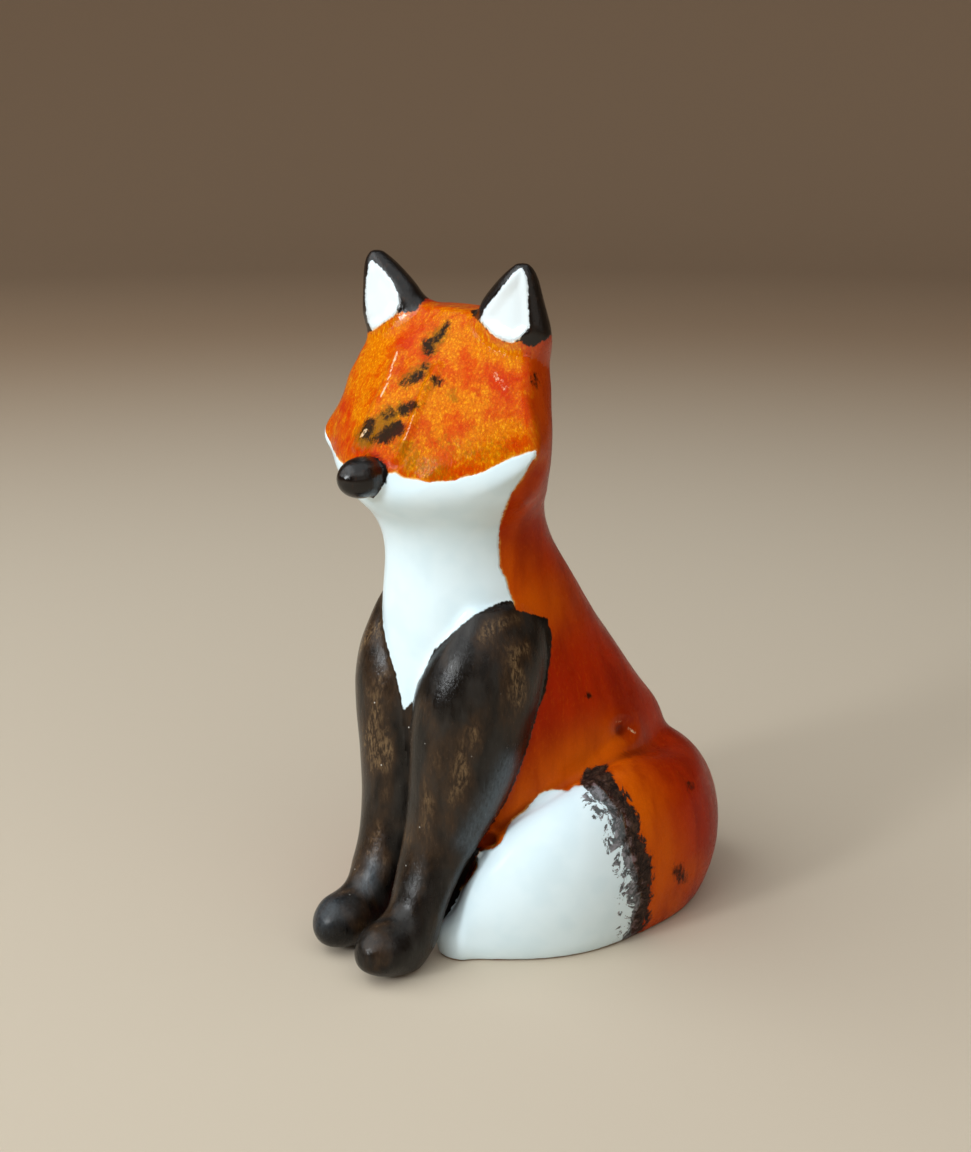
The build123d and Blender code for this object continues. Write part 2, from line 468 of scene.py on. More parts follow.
    def _part_corners(self) -> bool:
        """Fill in where a piece touches itself at a single corner.

        Returns:
            Whether there were any such corners.
        """
        sides = self.clay_of_face[self.edge_faces]
        border = sides[:, 0] != sides[:, 1]
        count = np.zeros((len(self.points), len(Clay)))
        for end in range(2):
            for side in range(2):
                np.add.at(count, (self.edges[border, end], sides[border, side]), 1.0)
        pinched = count.max(axis=1) > 2
        winner = self.neighbour_mean(self._votes()).argmax(axis=1)
        for corner in range(4):
            held = self.faces[:, corner]
            self.clay_of_face = np.where(pinched[held], winner[held], self.clay_of_face)
        return bool(pinched.any())

    def neighbour_mean(self, values: np.ndarray) -> np.ndarray:
        """Mean of the values at the points next to each point.

        Args:
            values: A value or a row of values for every point.

        Returns:
            The means, in the same form.
        """
        count = len(self.points)
        first, second = self.edges.T
        share = np.bincount(first, minlength=count) + np.bincount(second, minlength=count)
        total = [np.bincount(first, column[second], count) + np.bincount(second, column[first], count)
                 for column in values.reshape(count, -1).T]
        return (np.stack(total, axis=1) / share[:, None]).reshape(values.shape)

    def relax(self, rounds: int, strength: float | np.ndarray) -> None:
        """Move points towards their neighbours, as a damp sponge evens clay.

        Args:
            rounds: How many times.
            strength: Share of the way, for all points or for each.
        """
        share = np.broadcast_to(np.asarray(strength, float), len(self.points))[:, None]
        for _ in range(rounds):
            self.points = self.points + share * (self.neighbour_mean(self.points) - self.points)

    def fair(self, rounds: int) -> None:
        """Even out facets without shrinking the form.

        Args:
            rounds: How many times.
        """
        for _ in range(rounds):
            self.relax(1, self.fair_in)
            self.relax(1, self.fair_out)

    def push(self, amount: np.ndarray) -> None:
        """Move the surface outwards by an amount at each point."""
        self.points = self.points + amount[:, None] * self.normals()

    def normals(self) -> np.ndarray:
        """Work out which way the surface faces.

        Returns:
            Outward unit normal at every point.
        """
        corners = self.points[self.faces]
        flat = np.cross(corners[:, 2] - corners[:, 0], corners[:, 3] - corners[:, 1])
        total = np.zeros_like(self.points)
        for corner in range(4):
            for axis in range(3):
                total[:, axis] += np.bincount(self.faces[:, corner], flat[:, axis], len(self.points))
        return total / np.maximum(np.linalg.norm(total, axis=1, keepdims=True), TINY)

    def hollowness(self, rounds: int) -> np.ndarray:
        """How hollow the surface is.

        Args:
            rounds: How many times the values are evened out.

        Returns:
            For every point a value that is positive in creases and negative on ridges.
        """
        lift = np.einsum("ij,ij->i", self.neighbour_mean(self.points) - self.points, self.normals())
        for _ in range(rounds):
            lift = self.neighbour_mean(lift)
        return lift

    def waver(self, size: float, seed: float) -> np.ndarray:
        """Smooth uneven values from -1 to 1, with waves of about the given size."""
        shift = Vector((seed, seed * 0.7, -seed * 0.4))
        return np.array([noise.noise(Vector(point) / size + shift) for point in self.points])

    def on(self, *pieces: Clay) -> np.ndarray:
        """Which points lie on any of the pieces."""
        return np.isin(self.clay_of_point, [clay.number for clay in pieces])

    def seam(self, one: Sequence[Clay], other: Sequence[Clay]) -> np.ndarray:
        """Distance of every point from the seam between two groups of pieces.

        Args:
            one: Pieces on one side.
            other: Pieces on the other side.

        Returns:
            Distances in millimetres, at most FAR.
        """
        first, second = self.on(*one)[self.edges], self.on(*other)[self.edges]
        border = (first[:, 0] & second[:, 1]) | (first[:, 1] & second[:, 0])
        return self._near(self.points[self.edges[border]].mean(axis=1))

    def depth(self, *pieces: Clay) -> np.ndarray:
        """How deep each point lies inside a group of pieces, positive inside, at most FAR."""
        gap = self.seam(pieces, [clay for clay in Clay if clay not in pieces])
        return np.where(self.on(*pieces), gap, -gap)

    def _near(self, marks: np.ndarray) -> np.ndarray:
        """Distance of every point from the nearest mark.

        Args:
            marks: Places in millimetres.

        Returns:
            Distances in millimetres, at most FAR.
        """
        found = np.full(len(self.points), FAR)
        if not len(marks):
            return found
        tree = KDTree(len(marks))
        for number, mark in enumerate(marks):
            tree.insert(mark, number)
        tree.balance()
        low, high = marks.min(axis=0) - FAR, marks.max(axis=0) + FAR
        close = np.all((self.points > low) & (self.points < high), axis=1)
        for number in np.flatnonzero(close):
            found[number] = min(FAR, tree.find(self.points[number])[2])
        return found


@dataclass(frozen=True)
class Joint:
    """A wet joint between two groups of pieces, rubbed over fully near its seam and less up to its width."""

    one: tuple[Clay, ...]
    other: tuple[Clay, ...]
    rubs: int
    width: float
    core: float = 0.8

    def closeness(self, skin: ClaySkin) -> np.ndarray:
        """A share that falls from 1 at the seam to 0 at the joint's width."""
        return 1.0 - smooth_step(skin.seam(self.one, self.other), self.core, self.width)


@dataclass(frozen=True)
class Touch:
    """A place where a thumb pinched the clay out or pressed it in, then rubbed it smooth."""

    place: Triple
    reach: float
    rise: float
    rubs: int = 40


@dataclass(frozen=True)
class Dent:
    """A small hollow pressed with a tool: its place in the drawing, its size and the pieces it marks."""

    place: tuple[float, float]
    size: float
    pieces: tuple[Clay, ...]


@dataclass
class Modelling:
    """What the maker's fingers and tools did to the joined clay."""

    sight: Sight
    turn: float = 0.3
    rub: float = 0.5
    fair_rounds: int = 4
    hand: float = 0.22
    hand_waves: Span = (17.0, 7.0)
    hand_seeds: Span = (3.0, 11.0)
    small_share: float = 0.5
    hand_sink: float = 1.1
    foot: Span = (0.5, 8.0)
    joints: tuple[Joint, ...] = (
        Joint((Clay.HEAD,), EARS, 50, 5.0),
        Joint(BODY, HAUNCHES, 80, 6.0),
        Joint(FORELEGS, FOREPAWS, 120, 6.5),
        Joint(BODY, FORELEGS, 8, 3.0),
        Joint((Clay.TAIL,), REAR, 10, 3.0),
        Joint((Clay.HEAD,), (Clay.TORSO,), 24, 5.0),
        Joint((Clay.HEAD,), (Clay.NOSE,), 3, 2.0),
    )
    tail_root: Joint = Joint((Clay.TAIL,), REAR, 150, 9.0, 1.5)
    rump: Span = (10.0, 30.0)
    touches: tuple[Touch, ...] = (
        Touch((25.7, -15.0, 140.0), 6.0, -0.6),
        Touch((24.8, -14.4, 133.5), 6.0, 0.6),
        Touch((-29.5, -27.5, 125.0), 6.5, -1.2, 20),
        Touch((-28.5, -31.0, 116.0), 5.5, 1.5, 6),
        Touch((19.5, 33.0, 42.5), 10.5, 2.3, 90),
        Touch((21.0, 39.5, 37.0), 14.0, -0.5, 60),
        Touch((10.5, -35.3, 5.0), 7.0, 2.0, 4),
    )
    ridges: tuple[Outline, ...] = (
        ((399, 350), (392, 368), (386, 385), (379, 400), (366, 428), (356, 448)),
        ((438, 366), (426, 386), (415, 413), (405, 440), (396, 458)),
    )
    ridge_rise: float = 0.7
    ridge_span: Span = (0.1, 1.6)
    strip: Outline = (
        (399, 350), (386, 385), (366, 428), (352, 452), (392, 460), (405, 440), (426, 386), (440, 358),
    )
    strip_sink: float = 0.2
    strip_span: Span = (-0.5, 2.0)
    beside_sink: float = 0.3
    beside_place: float = 5.5
    beside_width: float = 4.5
    cheek: Outline = ((527, 350), (528, 400), (532, 440), (536, 452))
    cheek_rise: float = 0.3
    cheek_span: Span = (0.3, 3.0)
    scoops: tuple[Outline, ...] = (
        ((522, 268), (529, 300), (531, 330), (512, 341), (492, 333), (480, 319), (496, 295)),
        ((371, 259), (394, 283), (399, 304), (380, 325), (365, 324), (362, 293)),
    )
    scoop_sink: float = 1.0
    scoop_span: Span = (-0.6, 2.6)
    dimple: Dent = Dent((624.0, 730.0), 2.4, (Clay.LEFT_HAUNCH, Clay.TORSO))
    pit: Dent = Dent((491.0, 841.0), 1.5, (Clay.LEFT_HAUNCH, Clay.TORSO, Clay.TAIL, Clay.BASE))
    dent_sink: float = 0.42
    dent_rim: float = 0.15
    dent_rim_place: float = 1.5

    def shape(self, skin: ClaySkin) -> None:
        """Smooth the joints, model the face and ears and leave the hand's unevenness.

        Args:
            skin: The joined clay, changed in place.
        """
        low, high = skin.points.min(axis=0), skin.points.max(axis=0)
        skin.fair(self.fair_rounds)
        self._smooth_joints(skin)
        self._touch(skin)
        self._face(skin)
        self._ears(skin)
        self._marks(skin)
        broad, small = (skin.waver(size, seed) for size, seed in zip(self.hand_waves, self.hand_seeds))
        unevenness = broad + self.small_share * small - self.hand_sink
        skin.push(self.hand * unevenness * smooth_step(skin.points[:, 2], *self.foot))
        skin.points = np.clip(skin.points, low, high)

    def _smooth_joints(self, skin: ClaySkin) -> None:
        """Smear the wet joints over, and the tail's root on the rump most of all.

        Args:
            skin: The joined clay, changed in place.
        """
        for joint in self.joints:
            skin.relax(joint.rubs, self.rub * joint.closeness(skin))
        behind = smooth_step(skin.points[:, 1], *self.rump)
        skin.relax(self.tail_root.rubs, self.rub * behind * self.tail_root.closeness(skin))

    def _touch(self, skin: ClaySkin) -> None:
        """Pinch out, press in and rub every touched place.

        Args:
            skin: The joined clay, changed in place.
        """
        for touch in self.touches:
            gap = np.linalg.norm(skin.points - touch.place, axis=1) / touch.reach
            share = np.exp(-2.0 * gap**2)
            skin.push(touch.rise * share)
            skin.relax(touch.rubs, self.rub * share)

    def _face(self, skin: ClaySkin) -> None:
        """Raise the two ridges beside the bridge and the edge of the cheek, and flatten between them.

        Args:
            skin: The joined clay, changed in place.
        """
        drawn = Drawn(self.sight, skin.points, skin.normals())
        raised = np.zeros(len(skin.points))
        for line in self.ridges:
            raised = np.maximum(raised, 1.0 - smooth_step(drawn.gap(line), *self.ridge_span))
        strip = smooth_step(drawn.depth(self.strip), *self.strip_span)
        off_hollow = np.abs(drawn.gap(self.ridges[1]) - self.beside_place)
        beside = 1.0 - smooth_step(off_hollow, 0.0, self.beside_width)
        cheek = 1.0 - smooth_step(drawn.gap(self.cheek), *self.cheek_span)
        relief = self.ridge_rise * raised - self.strip_sink * strip + self.cheek_rise * cheek
        relief = relief - self.beside_sink * beside * (1.0 - strip)
        skin.push(np.where(skin.on(Clay.HEAD), relief * drawn.seen(self.turn), 0.0))

    def _ears(self, skin: ClaySkin) -> None:
        """Scoop out the front of both ears.

        Args:
            skin: The joined clay, changed in place.
        """
        drawn = Drawn(self.sight, skin.points, skin.normals())
        deep = np.zeros(len(skin.points))
        for outline in self.scoops:
            deep = np.maximum(deep, smooth_step(drawn.depth(outline), *self.scoop_span))
        skin.push(np.where(skin.on(*EARS), -self.scoop_sink * deep * drawn.seen(self.turn), 0.0))

    def _marks(self, skin: ClaySkin) -> None:
        """Press the dimple above the haunch and the pit between leg and tail.

        Args:
            skin: The joined clay, changed in place.
        """
        drawn = Drawn(self.sight, skin.points, skin.normals())
        for dent in (self.dimple, self.pit):
            gap = np.hypot(*(drawn.places - np.array(dent.place)).T) * self.sight.unit() / dent.size
            hollow = self.dent_sink * np.exp(-2.0 * gap**2)
            rim = self.dent_rim * np.exp(-3.0 * (gap - self.dent_rim_place) ** 2)
            lift = dent.size * (rim - hollow) * drawn.seen(self.turn)
            skin.push(np.where(skin.on(*dent.pieces), lift, 0.0))


@dataclass(frozen=True)
class Stroke:
    """One stroke of a brush or a rub: its line in the drawing, its half width and its strength."""

    line: Outline
    half_width: float
    strength: float


@dataclass
class GlazePlan:
    """Where each glaze lies: outlines as seen from the sight, turned into depths on the skin.

    Laps say how far a glaze runs past the seam of its piece, and turns how squarely the surface still faces the
    viewpoint where an outline ends.
    """

    sight: Sight
    turn: float = 0.2
    rounding: float = 12.0
    bib_turn: float = -0.2
    face_turn: float = 0.05
    face_bottom: float = 100.0
    face_fade: float = 0.5
    lining_turn: float = 0.05
    lining_rounding: float = 8.0
    cheek_side: Span = (16.0, 26.0)
    cheek_level: Span = (104.0, 110.0)
    tip_lap: float = 2.6
    band_lap: float = 1.2
    ear_lap: float = 2.0
    nose_lap: float = 2.2
    nose_spread: float = 0.5
    nose_gain: float = 4.0
    shoulder_lap: float = 2.0
    shoulder_span: Span = (690.0, 715.0)
    cleft_half_width: float = 5.0
    cleft_front: float = -30.0
    beside_lap: float = 0.3
    right_lap: float = 0.7
    crease_rounds: int = 3
    crease_gain: float = 14.0
    stroke_fall: float = 0.7
    bib: Outline = (
        (240, 474), (380, 474), (396, 473), (403, 478), (416, 480), (435, 481.5), (452, 480.5), (464, 477),
        (483, 472), (498, 464), (513, 457), (523, 454), (537, 449), (537, 455), (533, 462), (523, 477),
        (515, 488), (507, 503), (501, 520), (499, 545), (500, 566), (506, 580), (513, 602), (513, 660),
        (440, 720), (240, 720),
    )
    far_cheek_drop: float = 1.6
    near_ear: Outline = (
        (524, 240), (466, 300), (472, 315), (479, 321.5), (486, 328.5), (494, 336), (504, 341.5),
        (513, 343), (520, 341), (527, 346), (535, 347), (543, 341), (553, 335), (590, 332), (590, 240),
    )
    near_ear_white: Outline = (
        (522, 267), (527.5, 278), (528.5, 293), (528.5, 310), (530, 326), (521, 337), (513, 342),
        (504, 340.5), (494, 335), (486.5, 327.5), (480, 320), (484.5, 308.5), (496, 295), (505.5, 282.5),
        (513, 273),
    )
    far_ear: Outline = (
        (366, 230), (345, 262), (350, 336), (362, 335), (371, 331), (377, 327.5), (387, 321), (396, 315),
        (400, 313), (408, 312), (416, 311), (420, 305), (428, 298), (440, 297), (455, 292), (455, 230),
    )
    far_ear_white: Outline = (
        (370.5, 258.5), (377.5, 264.5), (385, 272), (393.5, 282.5), (398.5, 295), (399, 304.5),
        (395.5, 314), (387, 320), (377.5, 326.5), (372.5, 330), (368, 323.5), (366, 310.5), (365, 293),
        (366.5, 276),
    )
    nose_black: Outline = (
        (330, 458), (352, 457), (366, 456), (377, 458), (384, 462), (388, 467), (389, 474), (386, 483),
        (378, 489), (366, 495), (330, 495),
    )
    tail_white: Outline = (
        (425, 990), (425, 940), (438, 929), (448, 910), (457, 895), (469, 880), (477, 868), (475, 858),
        (480, 851), (490, 849), (499, 843), (505, 834), (507, 826), (516, 817), (525, 811), (535, 797),
        (544, 791), (556, 789), (567, 790), (575, 785), (600, 785), (622, 815), (630, 850), (640, 880),
        (640, 905), (632, 925), (632, 990),
    )
    tail_front: float = 8.0
    tail_band: Outline = (
        (584, 770), (606, 766), (613, 777), (625, 792), (637, 815), (641, 836), (652, 855), (652, 876),
        (651, 897), (649, 916), (641, 932), (630, 960), (612, 960), (620, 938), (627, 929), (629, 916),
        (633, 905), (624, 898), (628, 880), (622, 866), (619, 853), (616, 843), (611, 830), (603, 820),
        (600, 808), (592, 803), (585, 794), (577, 784),
    )
    near_leg: Outline = (
        (412.5, 704), (419.5, 682), (434, 650), (453, 633), (474, 615.5), (502, 601.5), (513, 601),
        (516, 610), (550, 619), (553, 636), (547, 682), (540, 720), (540, 800), (380, 800), (380, 740),
    )
    # Painted shade: the wash's dark colour on the torso in the cleft between the legs.
    painted_shade_between_legs: Outline = (
        (412, 703), (425, 714), (440, 760), (420, 870), (390, 870), (385, 760), (399, 714),
    )
    # Painted shadow: the wash's dark colour on the body seen through the gap beside the near leg.
    painted_shade_beside_leg: Outline = (
        (482, 848), (475, 868), (463, 890), (451, 912), (442, 935), (437, 956), (428, 956), (434, 930),
        (446, 904), (458, 878), (470, 852),
    )
    face: Outline = (
        (300, 300), (360, 330), (400, 312), (440, 298), (474, 305), (520, 335), (528, 348), (529, 400),
        (533, 440), (538, 456), (500, 500), (300, 500),
    )
    glow: tuple[Stroke, ...] = (
        Stroke(((508, 830), (522, 803), (548, 780), (580, 762), (606, 752)), 6.0, 1.2),
        Stroke(((505, 570), (516, 592), (540, 604)), 6.5, 1.0),
        Stroke(((618, 772), (642, 802), (660, 850), (660, 905)), 5.0, 1.2),
        Stroke(((665, 892), (692, 872)), 4.0, 0.7),
        Stroke(((542, 350), (544, 400), (542, 460)), 3.0, 0.5),
        Stroke(((511, 560), (519, 520), (532, 485)), 3.0, 0.4),
    )
    amber: tuple[Stroke, ...] = (
        Stroke(((447, 334), (452, 342)), 2.4, 1.1),
        Stroke(((482, 345), (500, 352), (515, 358)), 2.6, 1.3),
        Stroke(((470, 446), (482, 438)), 2.8, 1.3),
        Stroke(((500, 434), (508, 430)), 2.4, 1.2),
        Stroke(((446, 402), (462, 404), (476, 400)), 2.6, 1.2),
        Stroke(((384, 420), (394, 400)), 2.4, 0.9),
        Stroke(((386, 332), (372, 360), (360, 395)), 2.6, 0.9),
        Stroke(((398, 450), (420, 462)), 2.2, 0.8),
    )
    red: tuple[Stroke, ...] = (
        Stroke(((494, 372), (506, 388)), 2.0, 1.1),
        Stroke(((403, 343), (411, 340)), 1.5, 1.3),
        Stroke(((422, 353), (424, 358)), 1.2, 1.2),
        Stroke(((403, 371), (405, 374)), 1.1, 1.1),
        Stroke(((461, 350), (466, 364), (468, 376)), 1.0, 1.0),
        Stroke(((456, 420), (462, 426)), 1.6, 0.9),
        Stroke(((505, 446), (520, 441)), 1.8, 1.1),
        Stroke(((458, 471), (470, 470)), 1.8, 1.1),
        Stroke(((350, 395), (343, 410)), 1.6, 0.9),
        Stroke(((408, 436), (404, 446)), 1.4, 0.7),
        Stroke(((526, 352), (527, 420)), 1.2, 0.9),
        # Painted shade: darker red over the muzzle above the nose.
        Stroke(((350, 450), (374, 455), (394, 468)), 2.2, 1.0),
    )
    worn: tuple[Stroke, ...] = (
        Stroke(((478, 637), (492, 625), (514, 619)), 1.7, 1.2),
        Stroke(((519, 650), (523, 695)), 2.6, 1.2),
        Stroke(((471, 730), (462, 775), (449, 820)), 2.6, 0.9),
        Stroke(((388, 730), (386, 765), (384, 800)), 1.8, 1.5),
        Stroke(((372, 615), (376, 680), (376, 780), (372, 860)), 6.0, 1.0),
        Stroke(((432, 800), (424, 850)), 1.8, 0.6),
    )
    # Painted highlights: thin glints along the face's ridges, a sparkle on the red blotch and on the dimple's rim,
    # drawn as pale lines.
    painted_highlight: tuple[Stroke, ...] = (
        Stroke(((397.5, 352), (392.5, 365), (388, 382), (381, 396)), 0.42, 1.0),
        Stroke(((413.5, 415), (409, 428), (404, 440)), 0.38, 0.9),
        Stroke(((366.5, 429), (361, 437)), 0.5, 0.95),
        Stroke(((495, 375), (506, 388)), 1.6, 0.78),
        Stroke(((616, 722), (622, 721)), 0.5, 0.8),
        Stroke(((628, 728), (635, 733)), 0.5, 0.9),
    )
    # Painted reflection: the cool blue-grey sheen along the near leg's back edge, on the far paw and on an instep.
    painted_sheen: tuple[Stroke, ...] = (
        Stroke(((508, 762), (492, 795), (466, 842)), 1.9, 1.0),
        Stroke(((316, 916), (328, 906)), 3.6, 0.4),
        Stroke(((366, 886), (374, 866)), 1.6, 0.7),
    )
    soot_and_gap_shade: tuple[Stroke, ...] = (
        Stroke(((448, 323), (443, 331), (438, 338)), 0.95, 0.90),
        Stroke(((436, 339), (427, 343)), 1.2, 0.85),
        Stroke(((429, 351), (427, 344)), 1.4, 1.05),
        Stroke(((424, 364), (425, 368)), 1.0, 0.80),
        Stroke(((420, 375), (414, 379)), 1.4, 1.00),
        Stroke(((402, 383), (408, 381)), 1.2, 0.75),
        Stroke(((434, 379), (439, 382)), 1.3, 0.95),
        Stroke(((412, 405), (404, 410)), 1.6, 1.05),
        Stroke(((391, 412), (386, 416)), 1.5, 0.80),
        Stroke(((398, 428), (391, 432), (384, 437)), 1.7, 1.30),
        Stroke(((370, 423), (366, 432)), 1.4, 1.10),
        Stroke(((364, 437), (377, 440)), 1.3, 0.80),
        Stroke(((588, 695), (590, 696)), 0.9, 0.80),
        Stroke(((690, 785), (691, 787)), 1.3, 0.75),
        Stroke(((679, 872), (681, 877)), 2.0, 0.85),
        Stroke(((534, 376), (535, 384)), 1.3, 0.70),
        # Painted shadow: a dark line in the gap between the near leg and the tail.
        Stroke(((478, 856), (470, 872), (461, 888)), 0.9, 1.20),
    )
    olive_haze_and_shade: tuple[Stroke, ...] = (
        Stroke(((440, 334), (429, 348)), 2.0, 0.8),
        Stroke(((424, 368), (406, 381)), 2.0, 0.7),
        Stroke(((412, 405), (388, 414)), 2.0, 0.7),
        Stroke(((388, 420), (378, 430), (366, 438)), 2.6, 1.0),
        Stroke(((436, 381), (428, 386)), 1.8, 0.5),
        Stroke(((452, 394), (454, 398)), 1.6, 0.5),
        # Painted shade: the muzzle and the lower cheek, darker where they turn away from the light.
        Stroke(((402, 446), (416, 464), (440, 472)), 3.2, 0.5),
        Stroke(((440, 440), (470, 456), (508, 447)), 3.4, 0.36),
    )

    def fields(self, skin: ClaySkin) -> dict[str, np.ndarray]:
        """Work out where each glaze lies.

        Args:
            skin: The finished clay.

        Returns:
            Values for every point by name: depths in millimetres, positive inside, or shares.
        """
        normals = skin.normals()
        mirror = np.where(skin.points[:, :1] < 0.0, (-1.0, 1.0, 1.0), 1.0)
        drawn = Drawn(self.sight, skin.points, normals)
        folded = Drawn(self.sight, skin.points * mirror, normals * mirror)
        ears = skin.depth(*EARS)
        tail = skin.depth(Clay.TAIL)
        front = self.tail_front - skin.points[:, 1]
        tip = np.minimum.reduce([drawn.depth(self.tail_white), tail + self.tip_lap, front])
        depths = {
            "white": self._white(skin, folded, tip),
            "black": self._black(skin, drawn, ears),
            "lining": np.where(ears > 0.0, self._lining(drawn), -FAR),
            # The wash also carries painted shade in the clefts between and beside the legs.
            "wash": self._wash(skin, drawn),
            "band": np.minimum.reduce([drawn.depth(self.tail_band), tail + self.band_lap, front]),
            "face": self._face(folded),
        }
        plan = {name: np.clip(values, -FAR, FAR) for name, values in depths.items()}
        strokes = {"soot_and_gap_shade": self.soot_and_gap_shade, "olive_haze_and_shade": self.olive_haze_and_shade, "glow": self.glow, "worn": self.worn, "painted_sheen": self.painted_sheen,
                   "painted_highlight": self.painted_highlight}
        seen = drawn.seen(self.turn)
        for name, group in strokes.items():
            plan[name] = self._dabs(drawn, group) * seen
        plan["warm"] = (self._dabs(drawn, self.amber) - self._dabs(drawn, self.red)) * seen
        # Hollowness of the surface: glaze pooled in creases, and painted shade there.
        plan["crease"] = np.clip(skin.hollowness(self.crease_rounds) * self.crease_gain, -1.0, 1.0)
        return plan

    def _white(self, skin: ClaySkin, folded: Drawn, tip: np.ndarray) -> np.ndarray:
        """Depth in the white glaze: the bib, alike on both sides, and the tail's tip.

        Args:
            skin: The finished clay.
            folded: The clay with its right side drawn like the left one.
            tip: Depth in the tail's tip.

        Returns:
            Depths in millimetres.
        """
        across, _, level = skin.points.T
        bib = np.minimum(folded.depth(self.bib), (folded.facing - self.bib_turn) * self.rounding)
        far_cheek = smooth_step(-across, *self.cheek_side) * smooth_step(level, *self.cheek_level)
        bib = bib - self.far_cheek_drop * far_cheek
        return np.where(skin.on(*TRUNK, Clay.LEFT_FORELEG), np.maximum(bib, tip), tip)

    def _wash(self, skin: ClaySkin, drawn: Drawn) -> np.ndarray:
        """Depth in the wash on the legs up to the shoulder, and in painted shade, in the wash's dark colour, in the
        clefts between and beside them.

        Args:
            skin: The finished clay.
            drawn: The clay in the drawing.

        Returns:
            Depths in millimetres.
        """
        across, along, _ = skin.points.T
        legs = skin.depth(*LEGS)
        shoulder = np.minimum(drawn.depth(self.near_leg), legs + self.shoulder_lap)
        upper = (1.0 - smooth_step(drawn.places[:, 1], *self.shoulder_span)) * drawn.seen(self.turn)
        wash = legs + (shoulder - legs) * upper * ~skin.on(*RIGHT_LEG)
        # Painted shade in the clefts, in the colour of the wash.
        between = np.minimum.reduce([drawn.depth(self.painted_shade_between_legs), self.cleft_half_width - np.abs(across),
                                     self.cleft_front - along])
        beside = np.where(skin.on(*TRUNK, Clay.LEFT_HAUNCH), drawn.depth(self.painted_shade_beside_leg) + self.beside_lap, -FAR)
        cleft_shade = np.where(drawn.facing > 0.0, np.maximum(between, beside), -FAR)
        return np.maximum.reduce([wash, cleft_shade, skin.depth(*RIGHT_LEG) + self.right_lap])

    def _black(self, skin: ClaySkin, drawn: Drawn, ears: np.ndarray) -> np.ndarray:
        """Depth in the black of ears, nose and muzzle.

        Args:
            skin: The finished clay.
            drawn: The clay in the drawing.
            ears: Depth in the ears.

        Returns:
            Depths in millimetres.
        """
        nose = skin.depth(Clay.NOSE)
        ball = self.nose_gain * nose + self.nose_spread
        muzzle = np.minimum(drawn.depth(self.nose_black), nose + self.nose_lap)
        ear = np.where(skin.points[:, 0] > 0.0, drawn.depth(self.near_ear), drawn.depth(self.far_ear))
        return np.maximum.reduce([np.minimum(ear, ears + self.ear_lap), ball, muzzle])

    def _lining(self, drawn: Drawn) -> np.ndarray:
        """Depth in the white linings of the ears.

        Args:
            drawn: The clay in the drawing.

        Returns:
            Depths in millimetres.
        """
        near, far = drawn.depth(self.near_ear_white), drawn.depth(self.far_ear_white)
        lining = np.where(drawn.points[:, 0] > 0.0, near, far)
        return np.minimum(lining, (drawn.facing - self.lining_turn) * self.lining_rounding)

    def _face(self, folded: Drawn) -> np.ndarray:
        """Depth in the bright glaze of the face, alike on both sides.

        Args:
            folded: The clay with its right side drawn like the left one.

        Returns:
            Depths in millimetres.
        """
        turned = (folded.facing - self.face_turn) * self.rounding
        level = (folded.points[:, 2] - self.face_bottom) * self.face_fade
        return np.minimum.reduce([folded.depth(self.face), turned, level])

    def _dabs(self, drawn: Drawn, strokes: Sequence[Stroke]) -> np.ndarray:
        """Strength of a set of strokes.

        Args:
            drawn: The clay in the drawing.
            strokes: The strokes.

        Returns:
            The strongest stroke's strength at every point.
        """
        total = np.zeros(len(drawn.places))
        for stroke in strokes:
            gap = drawn.gap(stroke.line) / stroke.half_width
            total = np.maximum(total, stroke.strength * np.exp(-self.stroke_fall * gap**2))
        return total


def tint(red: int, green: int, blue: int) -> Colour:
    """A written colour as the light values that shaders take.

    Args:
        red: Red from 0 to 255.
        green: Green from 0 to 255.
        blue: Blue from 0 to 255.

    Returns:
        The colour, fully opaque.
    """
    values = [channel / 255.0 for channel in (red, green, blue)]
    light = [v / 12.92 if v <= 0.04045 else ((v + 0.055) / 1.055) ** 2.4 for v in values]
    return light[0], light[1], light[2], 1.0


def even(size: float) -> Triple:
    """The same size along all three axes."""
    return size, size, size


Socket = bpy.types.NodeSocket
Value = bpy.types.NodeSocket | float


